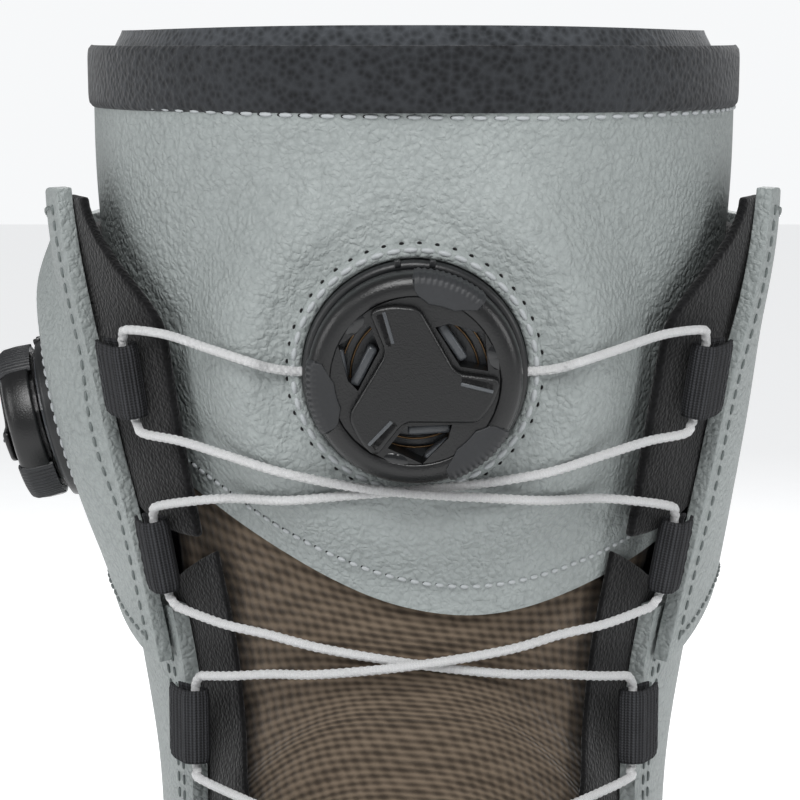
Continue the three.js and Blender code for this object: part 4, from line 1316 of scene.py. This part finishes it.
def grip_leaf(k, matrix, arm):
    """A ribbed rubber pad that wraps the knob's rim and comes to a rounded inner edge."""
    def shape(u, v):
        angle = np.radians(mix(arm - 57.5, arm - 14.5, v))
        inner = np.interp(v, (0, 0.1, 0.3, 0.74, 0.93, 1), (14.6, 13.7, 12.3, 12.0, 13.2, 14.6))
        rim = np.array([[16.55, 4.0], [16.75, 6.6], [16.6, 8.9], [15.9, 9.85], [15.0, 10.15]])
        part = np.clip(u / 0.55, 0, 1) * (len(rim) - 1)
        r = np.interp(part, range(len(rim)), rim[:, 0])
        z = np.interp(part, range(len(rim)), rim[:, 1])
        top = np.clip((u - 0.55) / 0.35, 0, 1)
        r = mix(r, inner, top)
        z = z - 0.06 * top - 0.75 * smooth(u, 0.9, 1)
        taper = smooth(v, 0, 0.03) * smooth(1 - v, 0, 0.03)
        rib = 0.1 * np.cos(v * TURN * 13) * (1 - smooth(u, 0.5, 0.62)) * taper
        sunk = 0.55 * (1 - taper)
        radial = (r + rib - sunk * (u < 0.5)) * k
        return np.stack([radial * np.cos(angle), radial * np.sin(angle), z - sunk * (u >= 0.4)], 1)
    bm = grid(26, 105, shape, (8, 12), outward=False)
    bmesh.ops.recalc_face_normals(bm, faces=bm.faces)
    centre = sum((f.calc_center_median() for f in bm.faces), Vector()) / len(bm.faces)
    if sum(f.normal.dot(Vector((centre.x, centre.y, 0.008))) for f in bm.faces) < 0:
        bmesh.ops.reverse_faces(bm, faces=bm.faces)
    bmesh.ops.transform(bm, matrix=matrix, verts=bm.verts)
    return bm


def strut(k, matrix, start, end, low, high, width):
    """A rounded bar between two points given by radius and angle."""
    a, b = (Vector(polar_point(r * k, angle)) for r, angle in (start, end))
    bm = bmesh.new()
    bmesh.ops.create_cube(bm, size=1)
    size = Matrix.Diagonal(((b - a).length, width * k * MM, (high - low) * MM, 1))
    turn = Matrix.Rotation(math.atan2((b - a).y, (b - a).x), 4, "Z")
    middle = (a + b) / 2 + Vector((0, 0, (low + high) / 2 * MM))
    bmesh.ops.transform(bm, matrix=Matrix.Translation(middle) @ turn @ size, verts=bm.verts)
    bmesh.ops.bevel(
        bm, geom=bm.edges[:], offset=min(width * k, high - low) * 0.3 * MM, segments=3,
        profile=0.5, affect="EDGES", material=-1)
    bmesh.ops.transform(bm, matrix=matrix, verts=bm.verts)
    return bm


def plate(k, matrix, corners, low, high):
    bm = bmesh.new()
    bm.faces.new([bm.verts.new(polar_point(r * k, angle, low)) for r, angle in corners])
    raised = bmesh.ops.extrude_face_region(bm, geom=bm.faces[:])["geom"]
    bmesh.ops.translate(bm, vec=(0, 0, (high - low) * MM),
        verts=[g for g in raised if isinstance(g, bmesh.types.BMVert)])
    bmesh.ops.recalc_face_normals(bm, faces=bm.faces)
    bmesh.ops.transform(bm, matrix=matrix, verts=bm.verts)
    return bm


def scoop(k, matrix, angle):
    """A shallow polished hollow near the knob's rim."""
    bm = bmesh.new()
    bmesh.ops.create_uvsphere(bm, u_segments=20, v_segments=10, radius=1.0)
    size = Matrix.Diagonal((1.25 * k * MM, 1.9 * k * MM, 0.45 * MM, 1))
    place = Matrix.Rotation(math.radians(angle), 4,
        "Z") @ Matrix.Translation((12.7 * k * MM, 0, 9.35 * MM))
    bmesh.ops.transform(bm, matrix=matrix @ place @ size, verts=bm.verts)
    return bm


def bar(k, matrix, angle, inner, outer, low, high, width):
    """A rounded bar of the knob's inner frame."""
    bm = bmesh.new()
    bmesh.ops.create_cube(bm, size=1)
    size = Matrix.Diagonal(((outer - inner) * k * MM, width * MM, (high - low) * MM, 1))
    place = Matrix.Rotation(math.radians(angle), 4, "Z") @ Matrix.Translation(
        ((inner + outer) / 2 * k * MM, 0, (low + high) / 2 * MM))
    bmesh.ops.transform(bm, matrix=place @ size, verts=bm.verts)
    bmesh.ops.bevel(bm, geom=bm.edges[:], offset=0.18 * MM, segments=2, profile=0.5,
        affect="EDGES", material=-1)
    bmesh.ops.transform(bm, matrix=matrix, verts=bm.verts)
    return bm


def ring_of_stitches(k, radius, height, pitch, matrix, length, thick, shift=0.0):
    angles = np.linspace(0, TURN, 181) + shift
    path = np.array([matrix @ Vector((radius * k * MM * math.cos(a),
        radius * k * MM * math.sin(a), height * MM)) for a in angles])
    axis = np.array(matrix.to_3x3() @ Vector((0, 0, 1)))
    return stitches(path / MM, pitch, np.tile(axis, (len(angles), 1)), length, thick)


class BOOT_OT_dials(Piece, bpy.types.Operator):
    """Make the two winding dials: welt, housing, knob, grip, cap and works"""

    bl_idname = "boot.dials"
    bl_label = "Winding dials"

    def build(self, upper, dials):
        for side, place, axis, k in (("front", FRONT_PLACE, FRONT_AXIS, FRONT_K),
                ("side", SIDE_PLACE, SIDE_AXIS, SIDE_K)):
            matrix = side_of_front(place * MM, axis)
            turning = side + "_turn"
            welt = lathe([
                (17.5 * k, -1.4), (17.5 * k, 0.5), (17.7 * k, 0.95), (18.2 * k, 1.15),
                (19.0 * k, 1.0), (19.6 * k, 0.45),
                (19.95 * k, -0.2), (19.95 * k, -0.35), (17.9 * k, -0.35), (17.9 * k, -1.4),
            ], 96, matrix)
            stands_for(add(side + "_dial_welt", welt, "leather"), "cuff", "leather")
            pitch = dials.stitch_pitch / MM * k
            stands_for(add(side + "_dial_welt_thread",
                ring_of_stitches(k, 18.8, 1.0, pitch, matrix, 0.86, 0.52), "thread"),
                       "cuff", "webbing")
            turn = math.pi / int(TURN * 18.8 * k / pitch)
            # Black beads at the welt's edge are painted shade of the needle holes.
            holes = ring_of_stitches(k, 19.75, 0.1, pitch * 19.75 / 18.8, matrix, 0.3, 0.36, turn)
            stands_for(add(side + "_dial_welt_holes", holes, "lining"), "cuff", "lining")

            housing = lathe([
                (2.3, -PANEL_WALL - 2.4 if side == "front" else -CUFF_WALL - 2.4),
                (17.2 * k, -PANEL_WALL - 2.4 if side == "front" else -CUFF_WALL - 2.4),
                (17.4 * k, -1.2), (17.4 * k, 2.3),
                (17.15 * k, 2.85), (16.7 * k, 3.0), (16.2 * k, 3.0), (15.9 * k, 2.8),
                (15.9 * k, -1.0 - CUFF_WALL + 1.2),
                (2.3, -1.0 - CUFF_WALL + 1.2),
            ], 96, matrix)
            notches = [bar(k, matrix, 90 + turn, 16.6, 17.75, 1.9, 3.15, 1.0) for turn in (-9, 9)]
            base = add(side + "_dial_housing", merge(housing, *notches), "dial_plastic")
            stands_for(base, "cuff", "dial_plastic", side + "_dial_base")

            cap = add(side + "_dial_cap_plate", cap_shape(k, matrix), "dial_cap", flat=False)
            weight_normals(cap)
            stands_for(cap, turning, "dial_cap", side + "_dial_cap")

            leaves = merge(*(grip_leaf(k, matrix, arm) for arm in ARM_ANGLES))
            stands_for(add(side + "_dial_grip_pads", leaves, "dial_grip"), turning, "dial_grip")
            hollows = merge(*(scoop(k, matrix, arm + turn) for arm in ARM_ANGLES
                for turn in (32, -91)))
            stands_for(add(side + "_dial_scoops", hollows, "polished"), turning, "dial_cap")
            shoulder = lathe([
                (12.95 * k, 9.3), (12.95 * k, 9.7), (13.2 * k, 9.85), (14.8 * k, 9.72),
                (15.7 * k, 9.3), (16.25 * k, 8.5), (16.45 * k, 7.4),
                (16.45 * k, 5.0), (16.3 * k, 4.5), (15.1 * k, 4.5), (15.1 * k, 8.95),
                (14.7 * k, 9.2),
            ], 96, matrix)
            stands_for(add(side + "_dial_knob_rim", shoulder, "dial_body"), turning, "dial_grip",
                side + "_dial_knob_grip")
            frame_bars = merge(*(
                strut(k, matrix, (near, arm + near_turn), (far, arm + far_turn), 5.2, 8.4, 1.5)
                for arm in ARM_ANGLES for near, near_turn, far,
                far_turn in ((9.3, -40, 8.0, -84), (10.9, -46, 12.6, -68))
            ))
            stands_for(add(side + "_dial_frame_bars", frame_bars, "dial_inner"), turning,
                "dial_inner")
            # Thin light grey bars laid on the cap top along its arms are a painted highlight on the
            # cap's bevel.
            bevel_highlights = merge(*(strut(k, matrix, (11.9, arm + 7.6), (6.9, arm + 13), 11.1, 11.6,
                0.55) for arm in ARM_ANGLES))
            stands_for(add(side + "_dial_cap_blades", bevel_highlights, "dial_inner"), turning, "dial_cap")
            # Flat black plates on the cap top are painted shade standing for recesses in the cap.
            recess_shade = merge(*(
                plate(k, matrix, [(reach, arm + a)
                    for reach, a in ((12.0, 13.6), (11.7, 9.2), (6.8, 16.5), (7.1, 21.5))], 11.2,
                    11.4)
                for arm in ARM_ANGLES))
            stands_for(add(side + "_dial_cap_recesses", recess_shade, "lining"), turning, "dial_cap")
            wires = []
            for r, z in ((9.9, 4.5), (11.3, 4.4)):
                ring = np.linspace(0, TURN, 73)
                path = [matrix @ Vector((r * k * MM * math.cos(a), r * k * MM * math.sin(a),
                    z * MM)) for a in ring]
                wires.append(tube(np.array(path) / MM, 0.18, 8))
            stands_for(add(side + "_dial_wires", merge(*wires), "bronze"), turning, "steel")
            kept = {
                "flange": "dial_plastic", "spool": "dial_inner", "drive_disc": "dial_inner",
                "bushing": "dial_inner",
                "knob_core": "dial_body", "axle": "steel",
            }
            for node, finish in kept.items():
                for slot in bpy.data.objects[side + "_dial_" + node].material_slots:
                    slot.material = FINISHES[finish]


def weight_normals(piece):
    """Keep a moulded part's flat faces flat beside its small bevels."""
    for polygon in piece.data.polygons:
        polygon.use_smooth = True
    modifier = piece.modifiers.new("Crisp", "WEIGHTED_NORMAL")
    modifier.keep_sharp = True
    bpy.context.view_layer.update()
    depsgraph = bpy.context.evaluated_depsgraph_get()
    final = bpy.data.meshes.new_from_object(piece.evaluated_get(depsgraph))
    piece.modifiers.clear()
    piece.data = final


# ---- Stage ----
class BOOT_OT_stage(Piece, bpy.types.Operator):
    """Lay the floor and set the lights and the camera"""

    bl_idname = "boot.stage"
    bl_label = "Floor, lights and camera"

    def build(self, upper, dials):
        scene = bpy.context.scene
        floor = bmesh.new()
        bmesh.ops.create_grid(floor, x_segments=2, y_segments=2, size=4)
        add("floor", floor, "floor")
        glow = FINISHES["floor"].node_tree.nodes["Principled BSDF"].inputs
        glow["Emission Color"].default_value = (0.93, 0.94, 0.95, 1)
        glow["Emission Strength"].default_value = 0.7
        world = bpy.data.worlds.new("Studio")
        world.use_nodes = True
        tree = world.node_tree
        sky = tree.nodes["Background"]
        sky.inputs["Color"].default_value = (0.97, 0.98, 1.0, 1)
        sky.inputs["Strength"].default_value = 0.3
        pale = tree.nodes.new("ShaderNodeBackground")
        pale.inputs["Color"].default_value = (0.93, 0.94, 0.95, 1)
        either = tree.nodes.new("ShaderNodeMixShader")
        tree.links.new(tree.nodes.new("ShaderNodeLightPath").outputs["Is Camera Ray"],
            either.inputs["Fac"])
        tree.links.new(sky.outputs[0], either.inputs[1])
        tree.links.new(pale.outputs[0], either.inputs[2])
        tree.links.new(either.outputs[0], tree.nodes["World Output"].inputs["Surface"])
        scene.world = world
        lights = (
            ("key", (-0.1, -0.75, 1.0), 9, 0.55), ("left", (-1.0, -0.45, 0.6), 3.2, 0.5),
            ("right", (1.0, -0.45, 0.6), 3.2, 0.5), ("back", (0.1, 1.0, 0.9), 9, 0.8),
        )
        for name, place, power, size in lights:
            data = bpy.data.lights.new(name, "AREA")
            data.energy = power
            data.size = size
            lamp = bpy.data.objects.new(name, data)
            scene.collection.objects.link(lamp)
            lamp.location = place
            lamp.rotation_euler = (Vector((0, 0.02, 0.2)) - Vector(place)).to_track_quat("-Z",
                "Y").to_euler()
        data = bpy.data.cameras.new("camera")
        data.sensor_width = 36
        data.lens = 139.4
        camera = bpy.data.objects.new("camera", data)
        scene.collection.objects.link(camera)
        aim = Vector((FRONT_PLACE[0] - 2.3, FRONT_PLACE[1], 235.5)) * MM
        rise = math.radians(7)
        camera.location = aim + Vector((0, -math.cos(rise), math.sin(rise))) * 0.48
        camera.rotation_euler = (aim - camera.location).to_track_quat("-Z", "Y").to_euler()
        scene.camera = camera
        scene.view_settings.view_transform = "Standard"


# ---- Panel ----
def colour(name, description, default):
    return bpy.props.FloatVectorProperty(
        name=name, description=description, default=tint(default)[:3], subtype="COLOR", min=0,
        max=1)


class BOOT_PG_upper(bpy.types.PropertyGroup):
    leather_light: colour("Light leather", "The leather's colour on its high grain", "989e9d")
    # The dark leather colour is partly random tone and partly painted shade in the grain's hollows.
    leather_dark: colour("Dark leather", "The leather's colour in its creases", "7f8584")
    lace_width: bpy.props.FloatProperty(
        name="Lace width", description="How thick the lace is", default=0.0015, unit="LENGTH",
        precision=4)
    fineness: bpy.props.IntProperty(
        name="Fineness", description="Rows of faces along the lower shell", default=110, min=40,
        max=240)


class BOOT_PG_dials(bpy.types.PropertyGroup):
    stitch_pitch: bpy.props.FloatProperty(
        name="Stitch pitch", description="From one welt stitch to the next", default=0.0026,
        unit="LENGTH", precision=5)


class BOOT_PT_panel(bpy.types.Panel):
    bl_label = "Snowboard boot"
    bl_idname = "BOOT_PT_panel"
    bl_space_type = "VIEW_3D"
    bl_region_type = "UI"
    bl_category = "Boot"

    def draw(self, context):
        for group in (context.scene.boot_upper, context.scene.boot_dials):
            for name in group.bl_rna.properties.keys():
                if name not in ("rna_type", "name"):
                    self.layout.prop(group, name)
        for operator in OPERATORS:
            self.layout.operator(operator.bl_idname)


OPERATORS = (
    BOOT_OT_finishes, BOOT_OT_stage, BOOT_OT_lace, BOOT_OT_shell, BOOT_OT_cuff, BOOT_OT_tongue,
    BOOT_OT_gussets, BOOT_OT_liner,
    BOOT_OT_sole, BOOT_OT_rands, BOOT_OT_loops, BOOT_OT_dials,
)
CLASSES = (BOOT_PG_upper, BOOT_PG_dials, *OPERATORS, BOOT_PT_panel)


def register():
    for cls in CLASSES:
        bpy.utils.register_class(cls)
    bpy.types.Scene.boot_upper = bpy.props.PointerProperty(type=BOOT_PG_upper)
    bpy.types.Scene.boot_dials = bpy.props.PointerProperty(type=BOOT_PG_dials)


def unregister():
    del bpy.types.Scene.boot_upper
    del bpy.types.Scene.boot_dials
    for cls in reversed(CLASSES):
        bpy.utils.unregister_class(cls)


def main():
    register()
    for operator in OPERATORS:
        group, name = operator.bl_idname.split(".")
        getattr(getattr(bpy.ops, group), name)()


if __name__ == "__main__":
    main()
